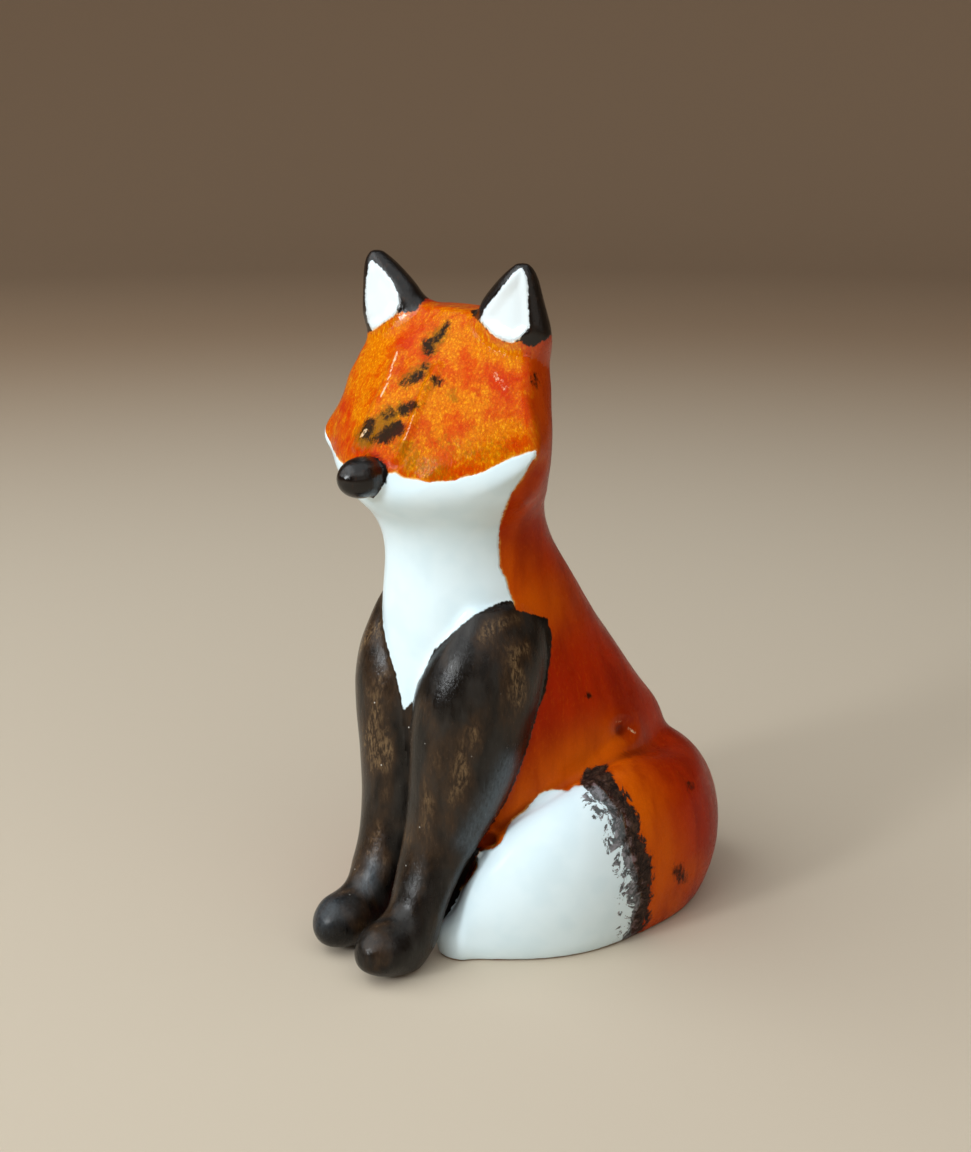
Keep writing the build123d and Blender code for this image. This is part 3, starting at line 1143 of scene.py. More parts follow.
@dataclass
class Graph:
    """A material's node tree under construction, with short words for the nodes that the finishes use."""

    tree: bpy.types.NodeTree
    place: Socket = field(init=False)

    def __post_init__(self) -> None:
        """Start with the place on the figure, in millimetres."""
        self.tree.nodes.clear()
        spot = self.tree.nodes.new("ShaderNodeTexCoord").outputs["Object"]
        self.place = self.scaled(spot, even(1.0 / MM))

    def set(self, socket: Socket, value: Value | tuple) -> None:
        """Link or write one input.

        Args:
            socket: The input.
            value: Another node's output, or what to write.
        """
        if isinstance(value, bpy.types.NodeSocket):
            self.tree.links.new(value, socket)
        else:
            socket.default_value = value

    def shade(self, colour: Value | Colour, rough: Value, gloss: float) -> bpy.types.Node:
        """Add the surface and lead it to the output.

        Args:
            colour: Its colour.
            rough: Its roughness.
            gloss: How strongly it mirrors its surroundings; 0.5 is plain glass.

        Returns:
            The surface's node.
        """
        shader = self.tree.nodes.new("ShaderNodeBsdfPrincipled")
        self.set(shader.inputs["Base Color"], colour)
        self.set(shader.inputs["Roughness"], rough)
        shader.inputs["Specular IOR Level"].default_value = gloss
        output = self.tree.nodes.new("ShaderNodeOutputMaterial")
        self.set(output.inputs["Surface"], shader.outputs["BSDF"])
        return shader

    def scaled(self, vector: Socket, factors: Triple) -> Socket:
        """A vector with each axis multiplied.

        Args:
            vector: The vector.
            factors: One factor for each axis.

        Returns:
            The product.
        """
        node = self.tree.nodes.new("ShaderNodeVectorMath")
        node.operation = "MULTIPLY"
        self.set(node.inputs[0], vector)
        node.inputs[1].default_value = factors
        return node.outputs[0]

    def painted(self, name: str) -> Socket:
        """A value painted on the piece's points.

        Args:
            name: Name of the value in the plan.

        Returns:
            The value at every place.
        """
        node = self.tree.nodes.new("ShaderNodeAttribute")
        node.attribute_name = name
        return node.outputs["Fac"]

    def math(self, operation: str, first: Value, second: Value) -> Socket:
        """One step of arithmetic.

        Args:
            operation: The node's name for it.
            first: First value.
            second: Second value.

        Returns:
            The result.
        """
        node = self.tree.nodes.new("ShaderNodeMath")
        node.operation = operation
        self.set(node.inputs[0], first)
        self.set(node.inputs[1], second)
        return node.outputs[0]

    def times(self, first: Value, second: Value) -> Socket:
        """The product of two values."""
        return self.math("MULTIPLY", first, second)

    def plus(self, first: Value, second: Value) -> Socket:
        """The sum of two values."""
        return self.math("ADD", first, second)

    def step(self, value: Value, low: float, high: float, bottom: Value = 0.0, top: Value = 1.0) -> Socket:
        """A soft step between two values.

        Args:
            value: What decides.
            low: Where the step begins.
            high: Where it ends.
            bottom: Result below the step.
            top: Result above it.

        Returns:
            The result.
        """
        node = self.tree.nodes.new("ShaderNodeMapRange")
        node.interpolation_type = "SMOOTHSTEP"
        given = {"Value": value, "From Min": low, "From Max": high, "To Min": bottom, "To Max": top}
        for name, number in given.items():
            self.set(node.inputs[name], number)
        return node.outputs["Result"]

    def mix(self, share: Value, first: Value | Colour, second: Value | Colour) -> Socket:
        """A colour between two colours.

        Args:
            share: Share of the second colour.
            first: First colour.
            second: Second colour.

        Returns:
            The mixed colour.
        """
        node = self.tree.nodes.new("ShaderNodeMix")
        node.data_type = "RGBA"
        for number, given in ((0, share), (6, first), (7, second)):
            self.set(node.inputs[number], given)
        return node.outputs[2]

    def blend(self, share: Value, first: Value, second: Value) -> Socket:
        """A number between two numbers.

        Args:
            share: Share of the second number.
            first: First number.
            second: Second number.

        Returns:
            The number between.
        """
        node = self.tree.nodes.new("ShaderNodeMix")
        for number, given in ((0, share), (2, first), (3, second)):
            self.set(node.inputs[number], given)
        return node.outputs[0]

    def _spread(self, node: bpy.types.Node, size: Triple) -> None:
        """Give a texture the size that it has in millimetres along each axis."""
        self.set(node.inputs["Vector"], self.scaled(self.place, tuple(1.0 / s for s in size)))
        node.inputs["Scale"].default_value = 1.0

    def clouds(self, size: Triple, detail: float = 3.0, rough: float = 0.55, twist: float = 0.0) -> Socket:
        """Soft noise.

        Args:
            size: Size of its waves along each axis, in millimetres.
            detail: How many finer waves lie on the broad ones.
            rough: How strong the finer waves are.
            twist: How much the waves are warped.

        Returns:
            Values about 0.5.
        """
        node = self.tree.nodes.new("ShaderNodeTexNoise")
        self._spread(node, size)
        for name, number in (("Detail", detail), ("Roughness", rough), ("Distortion", twist)):
            node.inputs[name].default_value = number
        return node.outputs["Fac"]

    def cells(self, size: Triple, edges: bool) -> Socket:
        """Irregular cells.

        Args:
            size: Size of the cells along each axis, in millimetres.
            edges: Whether the distance is counted from their edges or from their middles.

        Returns:
            The distance, in sizes of a cell.
        """
        node = self.tree.nodes.new("ShaderNodeTexVoronoi")
        node.feature = "DISTANCE_TO_EDGE" if edges else "F1"
        self._spread(node, size)
        return node.outputs["Distance"]

    def ragged(self, depth: Socket, waves: Socket, amount: float | Socket) -> Socket:
        """A depth whose edge is moved to and fro by noise."""
        return self.plus(depth, self.times(self.math("SUBTRACT", waves, 0.5), amount))


@dataclass
class Layer:
    """A finish at every place: colour, roughness and height in millimetres."""

    colour: Socket | Colour
    rough: Value
    height: Value

    def over(self, graph: Graph, share: Socket, under: Layer) -> Layer:
        """Lay this finish over another.

        Args:
            graph: Node tree to build it in.
            share: How much of this finish shows, from 0 to 1.
            under: The finish below.

        Returns:
            The finish at every place.
        """
        return Layer(graph.mix(share, under.colour, self.colour), graph.blend(share, under.rough, self.rough),
                     graph.blend(share, under.height, self.height))


@dataclass(frozen=True)
class OrangeGlaze:
    """Crackled orange glaze: bright and flecked on the face, deep rust with soft runs on the body.

    Spans that end in _by are a value on the body and one on the face.
    """

    # Pale cream of the painted highlights.
    highlight_and_thin_wash: Colour = tint(240, 206, 164)
    red: Colour = tint(194, 50, 3)
    orange: Colour = tint(202, 78, 2)
    amber: Colour = tint(210, 112, 2)
    yellow: Colour = tint(230, 160, 12)
    rust: Colour = tint(146, 26, 2)
    ember: Colour = tint(176, 40, 3)
    flame: Colour = tint(212, 94, 5)
    line: Colour = tint(140, 40, 2)
    soot_and_gap_shade: Colour = tint(22, 15, 8)
    olive_haze_and_shade: Colour = tint(132, 88, 6)
    pooled_glaze_and_crease_shade: Colour = tint(96, 18, 2)
    crackle: Triple = (0.66, 0.66, 0.95)
    peel: Triple = (0.8, 0.8, 1.5)
    patches: float = 2.4
    line_by: Span = (0.20, 0.55)
    dome_by: Span = (0.005, 0.018)
    peel_by: Span = (0.03, 0.10)
    smoothest_by: Span = (0.24, 0.07)
    roughest_by: Span = (0.34, 0.14)
    clouds: Triple = (13.0, 13.0, 17.0)
    mottle: Triple = (2.4, 2.4, 3.4)
    flecks: Triple = (0.55, 0.55, 1.1)
    runs: Triple = (6.0, 6.0, 26.0)
    drift: Triple = (20.0, 20.0, 26.0)
    grain: Triple = (0.6, 0.6, 1.4)
    dab_edge: Triple = (0.8, 0.8, 1.4)
    break_edge: Triple = (0.5, 0.5, 0.9)

    def lay(self, graph: Graph) -> Layer:
        """Build the glaze.

        Args:
            graph: Node tree to build it in.

        Returns:
            The finish at every place.
        """
        crackle = graph.cells(self.crackle, True)
        patches = graph.clouds(even(self.patches), 2.0)
        bright = graph.step(graph.ragged(graph.painted("face"), graph.clouds(even(6.0)), 3.0), -2.5, 2.5)
        colour = graph.mix(bright, self._body(graph), self._face(graph))
        lines = graph.times(graph.step(crackle, 0.01, 0.17, 1.0, 0.0), patches)
        colour = graph.mix(graph.times(lines, graph.blend(bright, *self.line_by)), colour, self.line)
        colour = self._marks_and_painted_light(graph, colour)
        # Darker in creases: glaze pooled there, and painted crease shade.
        colour = graph.mix(graph.step(graph.painted("crease"), 0.10, 0.75, 0.0, 0.75), colour, self.pooled_glaze_and_crease_shade)
        rough = graph.step(patches, 0.3, 0.7, graph.blend(bright, *self.smoothest_by),
                           graph.blend(bright, *self.roughest_by))
        domes = graph.times(graph.step(crackle, 0.0, 0.35), graph.blend(bright, *self.dome_by))
        peel = graph.times(graph.clouds(self.peel), graph.blend(bright, *self.peel_by))
        return Layer(colour, rough, graph.plus(domes, peel))

    def _face(self, graph: Graph) -> Socket:
        """Mottled orange with red clouds and fine yellow flecks.

        Args:
            graph: Node tree to build it in.

        Returns:
            The colour of the face.
        """
        broad = graph.clouds(self.clouds, 2.5, 0.6, 0.5)
        small = graph.clouds(self.mottle, 3.0, 0.6, 0.3)
        warmth = graph.plus(graph.times(broad, 0.45), graph.times(small, 0.55))
        warmth = graph.plus(warmth, graph.times(graph.painted("warm"), 0.12))
        colour = graph.mix(graph.step(warmth, 0.32, 0.44), self.red, self.orange)
        colour = graph.mix(graph.step(warmth, 0.45, 0.57), colour, self.amber)
        flecks = graph.clouds(self.flecks, 2.0, 0.6)
        bright = graph.times(graph.step(flecks, 0.50, 0.70), graph.step(warmth, 0.38, 0.62, 0.15, 0.95))
        colour = graph.mix(bright, colour, self.yellow)
        return graph.mix(graph.step(flecks, 0.28, 0.46, 0.45, 0.0), colour, self.red)

    def _body(self, graph: Graph) -> Socket:
        """Deep rust with vertical runs, warmer where the glaze lies thin.

        Args:
            graph: Node tree to build it in.

        Returns:
            The colour of the body.
        """
        runs = graph.clouds(self.runs, 3.0, 0.5, 0.3)
        warmth = graph.plus(graph.times(runs, 0.5), graph.times(graph.clouds(self.drift, 2.0), 0.5))
        colour = graph.mix(graph.step(warmth, 0.36, 0.62), self.rust, self.ember)
        glow = graph.times(graph.painted("glow"), graph.step(runs, 0.25, 0.65, 0.45, 1.0))
        colour = graph.mix(graph.times(glow, 0.85), colour, self.flame)
        return graph.mix(graph.step(graph.clouds(self.grain, 2.0), 0.5, 0.75, 0.0, 0.22), colour, self.flame)

    def _marks_and_painted_light(self, graph: Graph, colour: Socket) -> Socket:
        """Dabs of dark oxide in an olive haze, painted shade over the muzzle and in the gap beside the tail, and
        painted highlights in pale cream.

        Args:
            graph: Node tree to build it in.
            colour: Colour of the glaze.

        Returns:
            The colour with dabs, painted shade and painted highlights.
        """
        waves = graph.clouds(self.dab_edge, 4.0, 0.75, 0.5)
        # Olive haze round the oxide dabs, and painted shade over the muzzle and lower cheek.
        haze_and_shade = graph.ragged(graph.painted("olive_haze_and_shade"), waves, 1.6)
        colour = graph.mix(graph.step(haze_and_shade, 0.20, 0.80, 0.0, 0.85), colour, self.olive_haze_and_shade)
        # Dark dabs of oxide, and one painted shadow line in the gap beside the tail.
        dab = graph.ragged(graph.painted("soot_and_gap_shade"), waves, 1.9)
        colour = graph.mix(graph.step(dab, 0.34, 0.95, 0.0, 0.95), colour, self.soot_and_gap_shade)
        # Painted highlights: pale cream lines where a lamp would glint on the glaze.
        highlight_and_thin_wash = graph.ragged(graph.painted("painted_highlight"), graph.clouds(self.break_edge, 2.0, 0.6), 0.9)
        return graph.mix(graph.step(highlight_and_thin_wash, 0.70, 0.98, 0.0, 0.80), colour, self.highlight_and_thin_wash)


class Coat(ABC):
    """A finish that covers a part of the one below it."""

    @abstractmethod
    def lay(self, graph: Graph, under: Layer) -> Layer:
        """Lay the coat over another finish.

        Args:
            graph: Node tree to build it in.
            under: The finish below.

        Returns:
            The finish at every place.
        """


@dataclass(frozen=True)
class WhiteGlaze(Coat):
    """Thick, cool white glaze with a thin yellow rim where it meets the orange."""

    white: Colour = tint(228, 247, 255)
    shade: Colour = tint(222, 243, 252)
    rim: Colour = tint(232, 176, 78)
    edge: float = 3.6
    pools: float = 9.0
    rough: float = 0.15
    thickness: float = 0.22
    unevenness: float = 0.10

    def lay(self, graph: Graph, under: Layer) -> Layer:
        """Lay the white over another finish.

        Args:
            graph: Node tree to build it in.
            under: The finish below.

        Returns:
            The finish at every place.
        """
        waves = graph.clouds(even(self.edge), 3.0, 0.6)
        depth = graph.ragged(graph.painted("white"), waves, 1.7)
        body = graph.mix(graph.step(graph.clouds(even(self.pools), 2.0), 0.42, 0.66), self.white, self.shade)
        rise = graph.plus(graph.step(depth, -0.15, 0.5, 0.0, self.thickness),
                          graph.times(graph.clouds(even(self.pools), 0.0), self.unevenness))
        layer = Layer(body, self.rough, rise).over(graph, graph.step(depth, -0.07, 0.10), under)
        rim = graph.times(graph.step(depth, -0.45, -0.10), graph.step(depth, 0.12, 0.42, 1.0, 0.0))
        rim = graph.times(rim, graph.step(waves, 0.40, 0.62, 0.12, 0.60))
        return Layer(graph.mix(rim, layer.colour, self.rim), layer.rough, layer.height)


@dataclass(frozen=True)
class BandOxide(Coat):
    """Crusty dark band at the edge of the tail's white tip, feathered on the side of the tip."""

    dark: Colour = tint(32, 25, 24)
    grey: Colour = tint(132, 124, 130)
    brown: Colour = tint(84, 62, 50)
    fern: float = 3.4
    crust: float = 1.7
    rough: float = 0.30
    thickness: float = 0.30

    def lay(self, graph: Graph, under: Layer) -> Layer:
        """Lay the band over another finish.

        Args:
            graph: Node tree to build it in.
            under: The finish below.

        Returns:
            The finish at every place.
        """
        fern = graph.step(graph.clouds(even(self.fern), 5.0, 0.72, 0.6), 0.34, 0.66)
        inner = graph.step(graph.ragged(graph.painted("white"), fern, 3.0), -0.8, 1.8)
        depth = graph.ragged(graph.painted("band"), fern, graph.blend(inner, 1.6, 6.0))
        cover = graph.times(graph.step(depth, -0.20, 0.45), graph.blend(inner, 1.0, 0.86))
        crust = graph.step(graph.clouds(even(self.crust), 5.0, 0.75, 0.8), 0.36, 0.64)
        colour = graph.mix(graph.times(crust, 0.8), self.dark, self.brown)
        colour = graph.mix(graph.times(inner, graph.step(crust, 0.25, 0.85)), colour, self.grey)
        return Layer(colour, self.rough, graph.times(crust, self.thickness)).over(graph, cover, under)


@dataclass(frozen=True)
class OxideWash(Coat):
    """Satin brown-black wash on legs and paws, rubbed back to brown along the brush, with a painted blue-grey
    sheen.
    """

    black: Colour = tint(18, 14, 11)
    slate: Colour = tint(40, 37, 34)
    brown: Colour = tint(62, 44, 28)
    tan: Colour = tint(124, 100, 70)
    # Blue-grey of the painted reflection.
    painted_sheen: Colour = tint(74, 84, 92)
    speck: Colour = tint(214, 212, 204)
    brush: Triple = (0.7, 0.7, 1.8)
    edge: Triple = (0.7, 0.7, 1.6)
    streaks: Triple = (5.0, 5.0, 12.0)
    wear: Triple = (7.0, 7.0, 16.0)
    speck_gap: float = 3.4
    speck_groups: float = 9.0
    rough: Span = (0.16, 0.28)
    thickness: float = 0.10

    def lay(self, graph: Graph, under: Layer) -> Layer:
        """Lay the wash over another finish.

        Args:
            graph: Node tree to build it in.
            under: The finish below.

        Returns:
            The finish at every place.
        """
        brush = graph.clouds(self.brush, 4.0, 0.7, 0.4)
        # The wash's depth also covers painted shade in the clefts between and beside the legs.
        depth = graph.ragged(graph.painted("wash"), graph.clouds(self.edge, 3.0, 0.65), 1.0)
        highlight_and_thin_wash = graph.plus(graph.clouds(self.wear, 3.0, 0.55, 0.4), graph.times(graph.painted("worn"), 0.16))
        colour = graph.mix(graph.step(graph.clouds(self.streaks), 0.40, 0.66), self.black, self.slate)
        worn = graph.times(graph.step(highlight_and_thin_wash, 0.44, 0.70), graph.step(brush, 0.25, 0.65, 0.35, 1.0))
        colour = graph.mix(graph.times(worn, 0.90), colour, self.brown)
        rubbed = graph.times(graph.step(highlight_and_thin_wash, 0.62, 0.80), graph.step(brush, 0.42, 0.66))
        colour = graph.mix(graph.times(rubbed, 0.80), colour, self.tan)
        # Painted reflection: a cool blue-grey sheen where the plan marks it.
        painted_sheen = graph.times(graph.painted("painted_sheen"), graph.step(brush, 0.30, 0.60, 0.35, 0.95))
        colour = graph.mix(painted_sheen, colour, self.painted_sheen)
        specks = graph.times(graph.step(graph.cells(even(self.speck_gap), False), 0.03, 0.07, 1.0, 0.0),
                             graph.step(graph.clouds(even(self.speck_groups), 1.0), 0.52, 0.58))
        colour = graph.mix(specks, colour, self.speck)
        layer = Layer(colour, graph.step(brush, 0.3, 0.7, *self.rough), graph.times(brush, self.thickness))
        return layer.over(graph, graph.step(depth, -0.18, 0.12), under)


@dataclass(frozen=True)
class BlackGlaze(Coat):
    """Glossy brown-black glaze on ears and nose, brushed thin at its edge, with white ear linings."""

    black: Colour = tint(17, 13, 12)
    brown: Colour = tint(58, 36, 22)
    lining: Colour = tint(228, 241, 247)
    rim: Colour = tint(238, 214, 178)
    bristle: Triple = (0.55, 0.55, 2.2)
    streaks: Triple = (1.0, 1.0, 2.6)
    rough: float = 0.10
    thickness: float = 0.10
    lining_edge: float = 0.9
    lining_rough: float = 0.12
    lining_thickness: float = 0.18

    def lay(self, graph: Graph, under: Layer) -> Layer:
        """Lay the black, then the white of the ears, over another finish.

        Args:
            graph: Node tree to build it in.
            under: The finish below.

        Returns:
            The finish at every place.
        """
        bristle = graph.clouds(self.bristle, 4.0, 0.65)
        depth = graph.ragged(graph.painted("black"), bristle, 2.0)
        streaks = graph.step(graph.clouds(self.streaks, 4.0, 0.65), 0.54, 0.76, 0.0, 0.75)
        black = Layer(graph.mix(streaks, self.black, self.brown), self.rough, graph.times(bristle, self.thickness))
        black = black.over(graph, graph.step(depth, -0.12, 0.25), under)
        inner = graph.ragged(graph.painted("lining"), graph.clouds(even(self.lining_edge), 4.0, 0.7), 1.1)
        rim = graph.times(graph.step(inner, -0.35, -0.05), graph.step(depth, 0.0, 1.2, 1.0, 0.0))
        black.colour = graph.mix(graph.times(rim, 0.9), black.colour, self.rim)
        white = Layer(self.lining, self.lining_rough, graph.step(inner, -0.1, 0.5, 0.0, self.lining_thickness))
        return white.over(graph, graph.step(inner, -0.08, 0.14), black)


@dataclass(frozen=True)
class BareClay:
    """Unglazed buff stoneware under the foot, with grog and iron specks."""

    buff: Colour = tint(176, 146, 112)
    toast: Colour = tint(140, 104, 72)
    iron: Colour = tint(84, 56, 36)
    flush: float = 11.0
    speck_gap: float = 1.7
    patches: float = 2.0
    rough: Span = (0.72, 0.9)
    grog: float = 0.8
    grog_height: float = 0.20

    def lay(self, graph: Graph) -> Layer:
        """Build the bare clay.

        Args:
            graph: Node tree to build it in.

        Returns:
            The finish at every place.
        """
        colour = graph.mix(graph.step(graph.clouds(even(self.flush)), 0.38, 0.66), self.buff, self.toast)
        specks = graph.step(graph.cells(even(self.speck_gap), False), 0.06, 0.16, 0.8, 0.0)
        rough = graph.step(graph.clouds(even(self.patches), 2.0), 0.3, 0.7, *self.rough)
        height = graph.times(graph.clouds(even(self.grog), 4.0, 0.65), self.grog_height)
        return Layer(graph.mix(specks, colour, self.iron), rough, height)


@dataclass
class FiredSurface:
    """The fired figure's surface: each finish laid over the one below it, the same on every piece."""

    orange: OrangeGlaze = field(default_factory=OrangeGlaze)
    coats: tuple[Coat, ...] = (WhiteGlaze(), BandOxide(), OxideWash(), BlackGlaze())
    bare: BareClay = field(default_factory=BareClay)
    index: float = 1.5
    foot: float = 0.35
    foot_edge: float = 0.1
    foot_waves: float = 5.0

    @staticmethod
    def gloss(slot: Slot) -> float:
        """How strongly a slot's finish mirrors its surroundings; 0.5 is plain glass."""
        return {Slot.ORANGE: 0.05, Slot.WASH: 0.25, Slot.BLACK: 0.45, Slot.BARE: 0.05}[slot]

    def material(self, slot: Slot) -> bpy.types.Material:
        """Make the material of one slot.

        Args:
            slot: Material slot of the record.

        Returns:
            The material, with glaze down to the foot and bare clay under it.
        """
        material = bpy.data.materials.new(slot.value)
        material.use_nodes = True
        graph = Graph(material.node_tree)
        layer = self.orange.lay(graph)
        for coat in self.coats:
            layer = coat.lay(graph, layer)
        layer = self._wipe_foot(graph, layer)
        shader = graph.shade(layer.colour, layer.rough, self.gloss(slot))
        shader.inputs["IOR"].default_value = self.index
        bump = graph.tree.nodes.new("ShaderNodeBump")
        bump.inputs["Strength"].default_value = 1.0
        bump.inputs["Distance"].default_value = MM
        graph.set(bump.inputs["Height"], layer.height)
        graph.set(shader.inputs["Normal"], bump.outputs["Normal"])
        return material

    def _wipe_foot(self, graph: Graph, under: Layer) -> Layer:
        """Leave bare clay on the wiped foot, close above the floor.

        Args:
            graph: Node tree to build it in.
            under: The glazes.

        Returns:
            The finish at every place.
        """
        split = graph.tree.nodes.new("ShaderNodeSeparateXYZ")
        graph.set(split.inputs[0], graph.place)
        level = graph.ragged(split.outputs["Z"], graph.clouds(even(self.foot_waves)), 0.7)
        wiped = graph.step(level, self.foot - self.foot_edge, self.foot + self.foot_edge, 1.0, 0.0)
        return self.bare.lay(graph).over(graph, wiped, under)


@dataclass
class Figure:
    """The dressed fox: the skin cut into its pieces of clay, each closed, painted and riding on the root."""

    skin: ClaySkin
    plan: dict[str, np.ndarray]
    surface: FiredSurface
    lip: float = 1.6
    lip_rounds: int = 4
    bent: Clay = Clay.TAIL
    vent_radius: float = 4.0
    drill_length: float = 20.0
    drill_sides: int = 48
    inward: np.ndarray = field(init=False)

    def dress(self) -> None:
        """Make, close and finish every piece."""
        materials = {slot: self.surface.material(slot) for slot in Slot}
        normals = self.skin.normals()
        self.inward = normals
        for _ in range(self.lip_rounds):
            self.inward = self.skin.neighbour_mean(self.inward)
        for clay in Clay:
            piece = self._cut_out(clay)
            if clay is Clay.BASE:
                self._bore_vent(piece)
            self._set_normals(piece, normals)
            piece.data.materials.append(materials[clay.slot])
            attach(piece, "root")
            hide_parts(clay.node)
            LOG.info("%s: %d faces", piece.name, len(piece.data.polygons))

    def _cut_out(self, clay: Clay) -> bpy.types.Object:
        """Cut one piece out of the skin and close it where it joins the others.

        Args:
            clay: The piece.

        Returns:
            Its object, with the painted fields on its points.
        """
        faces = self.skin.faces[self.skin.clay_of_face == clay.number]
        used, inverse = np.unique(faces, return_inverse=True)
        mesh = bpy.data.meshes.new(clay.piece)
        mesh.from_pydata((self.skin.points[used] * MM).tolist(), [], inverse.reshape(-1, 4).tolist())
        for name, values in self.plan.items():
            paint = mesh.attributes.new(name, "FLOAT", "POINT")
            paint.data.foreach_set("value", values[used].astype(np.float32))
        form = bmesh.new()
        form.from_mesh(mesh)
        self._close(form, -self.inward[used] * self.lip * MM, clay is self.bent)
        open_edges = sum(not edge.is_manifold for edge in form.edges)
        if open_edges:
            LOG.warning("%s: %d edges aren't closed", clay.piece, open_edges)
        form.to_mesh(mesh)
        form.free()
        return add_object(clay.piece, mesh)

    @staticmethod
    def _close(form: bmesh.types.BMesh, inward: np.ndarray, bent: bool) -> None:
        """Turn the rims of a cut-out piece into the clay and close them there.

        Args:
            form: The cut-out piece, changed in place.
            inward: How each of its points moves into the clay.
            bent: Whether the piece bends round others, so that strips close it and not a fan.
        """
        rims = [edge for edge in form.edges if edge.is_boundary]
        for vertex in bmesh.ops.extrude_edge_only(form, edges=rims)["geom"]:
            if isinstance(vertex, bmesh.types.BMVert):
                linked = (edge.other_vert(vertex).index for edge in vertex.link_edges)
                vertex.co += Vector(inward[next(i for i in linked if 0 <= i < len(inward))])
        rims = [edge for edge in form.edges if edge.is_boundary]
        caps = bmesh.ops.holes_fill(form, edges=rims, sides=0)["faces"]
        for cap in caps:
            rim = cap.loops[0]
            if rim.link_loop_radial_next.vert is rim.vert:
                cap.normal_flip()
        if bent:
            bmesh.ops.triangulate(form, faces=caps)
        else:
            bmesh.ops.poke(form, faces=caps, center_mode="MEAN")

    def _bore_vent(self, piece: bpy.types.Object) -> None:
        """Cut the vent hole through the seat.

        Args:
            piece: The seat, changed in place.
        """
        drill = bmesh.new()
        self.skin.add_pin(drill, self.vent_radius, self.drill_length, self.drill_sides)
        tool = add_object("vent_drill", mesh_of(drill, "vent_drill"))
        cut = piece.modifiers.new("vent", "BOOLEAN")
        cut.operation = "DIFFERENCE"
        cut.solver = "EXACT"
        cut.object = tool
        bored = modified(piece)
        piece.modifiers.clear()
        piece.data = bored
        bpy.data.objects.remove(tool)

    def _set_normals(self, piece: bpy.types.Object, normals: np.ndarray) -> None:
        """Shade the piece by the whole skin's normals, so that smeared joints don't show.

        Args:
            piece: The piece.
            normals: Normals of the skin's points.
        """
        mesh = piece.data
        mesh.polygons.foreach_set("use_smooth", np.ones(len(mesh.polygons), bool))
        places = np.zeros(len(mesh.vertices) * 3)
        mesh.vertices.foreach_get("co", places)
        known = {tuple(key): number for number, key in enumerate(np.round(self.skin.points, 3).tolist())}
        keys = np.round(places.reshape(-1, 3) / MM, 3).tolist()
        found = [known.get(tuple(key)) for key in keys]
        mesh.normals_split_custom_set_from_vertices(
            [(0.0, 0.0, 0.0) if number is None else tuple(normals[number]) for number in found])


@dataclass(frozen=True)
class SoftBox:
    """A large soft lamp: where it stands, its size in metres, its power in watts and its colour."""

    name: str
    place: Triple
    size: tuple[float, float]
    power: float
    colour: Triple


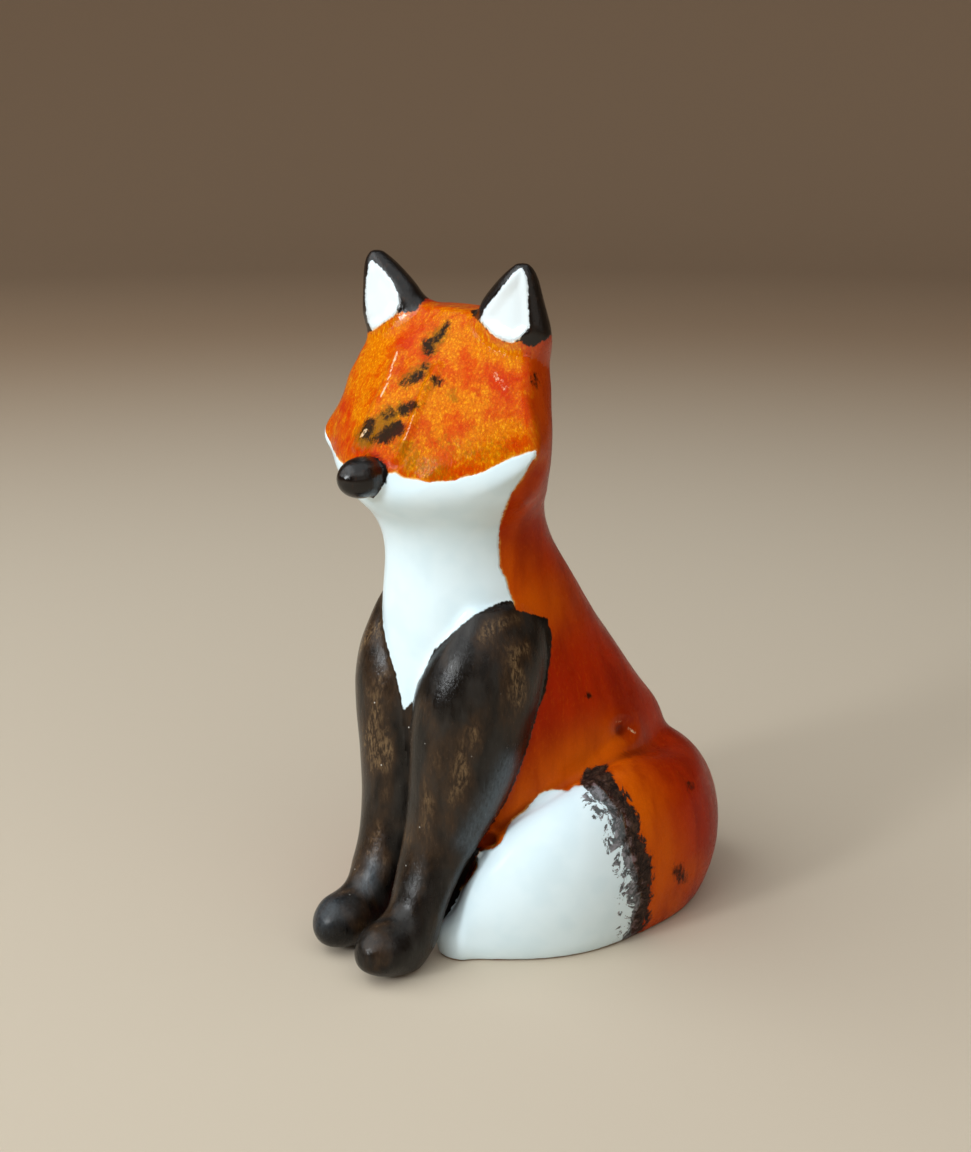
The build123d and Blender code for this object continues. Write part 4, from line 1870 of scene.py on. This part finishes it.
@dataclass
class Studio:
    """Pale floor, soft lamps and the camera at the sight's place.

    Floor and lamps are in metres, the fade of the paper and the camera's sensor in millimetres.
    """

    sight: Sight
    paper: Colour = tint(200, 187, 168)
    backdrop: Colour = tint(170, 144, 118)
    fade: Span = (260.0, 1100.0)
    paper_rough: float = 0.85
    paper_gloss: float = 0.2
    flat: float = 1.5
    bend: float = 0.9
    wall: float = 2.6
    bend_steps: int = 12
    round_steps: int = 96
    below: float = 0.00002
    weld: float = 1e-5
    air: Colour = tint(236, 238, 240)
    daylight: float = 0.11
    lamp_aim: Triple = (0.0, -0.01, 0.07)
    lamps: tuple[SoftBox, ...] = (
        SoftBox("window", (-0.45, -0.80, 0.92), (1.8, 1.3), 14.5, (0.93, 0.98, 1.0)),
        SoftBox("pane", (-0.15, -1.10, 0.50), (0.17, 0.27), 5.0, (0.92, 0.97, 1.0)),
        SoftBox("sky", (0.35, -0.35, 1.25), (2.0, 2.0), 12.0, (0.95, 0.99, 1.0)),
        SoftBox("fill", (1.00, -0.30, 0.55), (1.4, 1.0), 2.0, (1.0, 0.95, 0.88)),
    )
    sensor: float = 36.0
    nearest: float = 0.01

    def build(self) -> None:
        """Set up floor, lamps, world and camera."""
        self._floor()
        for lamp in self.lamps:
            self._lamp(lamp)
        world = bpy.data.worlds.new("studio")
        world.use_nodes = True
        world.node_tree.nodes["Background"].inputs["Color"].default_value = self.air
        world.node_tree.nodes["Background"].inputs["Strength"].default_value = self.daylight
        bpy.context.scene.world = world
        self._camera()
        bpy.context.scene.view_settings.view_transform = "Standard"

    def _floor(self) -> None:
        """A round sheet of paper that sweeps up at its rim, far from the figure."""
        turns = np.linspace(0.0, math.pi / 2, self.bend_steps)
        sweep = [(self.flat + self.bend * math.sin(turn), self.bend - self.bend * math.cos(turn)) for turn in turns]
        sheet = bmesh.new()
        for out, up in [(0.0, 0.0), *sweep, (self.flat + self.bend, self.wall)]:
            sheet.verts.new((out, 0.0, up - self.below))
        sheet.verts.ensure_lookup_table()
        rim = [sheet.edges.new(pair) for pair in zip(sheet.verts[:-1], sheet.verts[1:])]
        bmesh.ops.spin(sheet, geom=[*sheet.verts, *rim], axis=(0.0, 0.0, 1.0), cent=(0.0, 0.0, 0.0),
                       angle=2.0 * math.pi, steps=self.round_steps)
        bmesh.ops.remove_doubles(sheet, verts=sheet.verts, dist=self.weld)
        mesh = mesh_of(sheet, "floor")
        mesh.polygons.foreach_set("use_smooth", np.ones(len(mesh.polygons), bool))
        mesh.materials.append(self._paper())
        floor = add_object("floor", mesh)

    def _paper(self) -> bpy.types.Material:
        """Matt paper, pale under the figure and quieter far behind it.

        Returns:
            The material.
        """
        material = bpy.data.materials.new("paper")
        material.use_nodes = True
        graph = Graph(material.node_tree)
        length = graph.tree.nodes.new("ShaderNodeVectorMath")
        length.operation = "LENGTH"
        graph.set(length.inputs[0], graph.place)
        colour = graph.mix(graph.step(length.outputs["Value"], *self.fade), self.paper, self.backdrop)
        graph.shade(colour, self.paper_rough, self.paper_gloss)
        return material

    def _lamp(self, box: SoftBox) -> None:
        """Hang one lamp and point it at the figure.

        Args:
            box: The lamp.
        """
        lamp = bpy.data.lights.new(box.name, "AREA")
        lamp.shape = "RECTANGLE"
        lamp.size, lamp.size_y = box.size
        lamp.energy = box.power
        lamp.color = box.colour
        stand = add_object(box.name, lamp)
        stand.location = box.place
        ahead = Vector(self.lamp_aim) - Vector(box.place)
        stand.rotation_euler = ahead.to_track_quat("-Z", "Y").to_euler()

    def _camera(self) -> None:
        """Stand the camera at the sight's place."""
        lens = bpy.data.cameras.new("camera")
        lens.sensor_width = self.sensor
        lens.lens = self.sight.focal / self.sight.height * lens.sensor_width
        lens.clip_start = self.nearest
        camera = add_object("camera", lens)
        camera.location = Vector(self.sight.place) * MM
        ahead = Vector(self.sight.aim) - Vector(self.sight.place)
        camera.rotation_euler = ahead.to_track_quat("-Z", "Y").to_euler()
        bpy.context.scene.camera = camera


def main() -> None:
    """Load the frame, model and glaze the fox, and set up the studio."""
    logging.basicConfig(level=logging.INFO, format="%(name)s %(message)s", force=True)
    for default in list(bpy.data.objects):
        bpy.data.objects.remove(default)
    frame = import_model()
    sight = Sight()
    skin = ClaySkin()
    skin.gather(frame["nodes"])
    skin.name_pieces(frame["nodes"])
    LOG.info("skin: %d points", len(skin.points))
    Modelling(sight).shape(skin)
    plan = GlazePlan(sight).fields(skin)
    Figure(skin, plan, FiredSurface()).dress()
    Studio(sight).build()


if __name__ == "__main__":
    main()
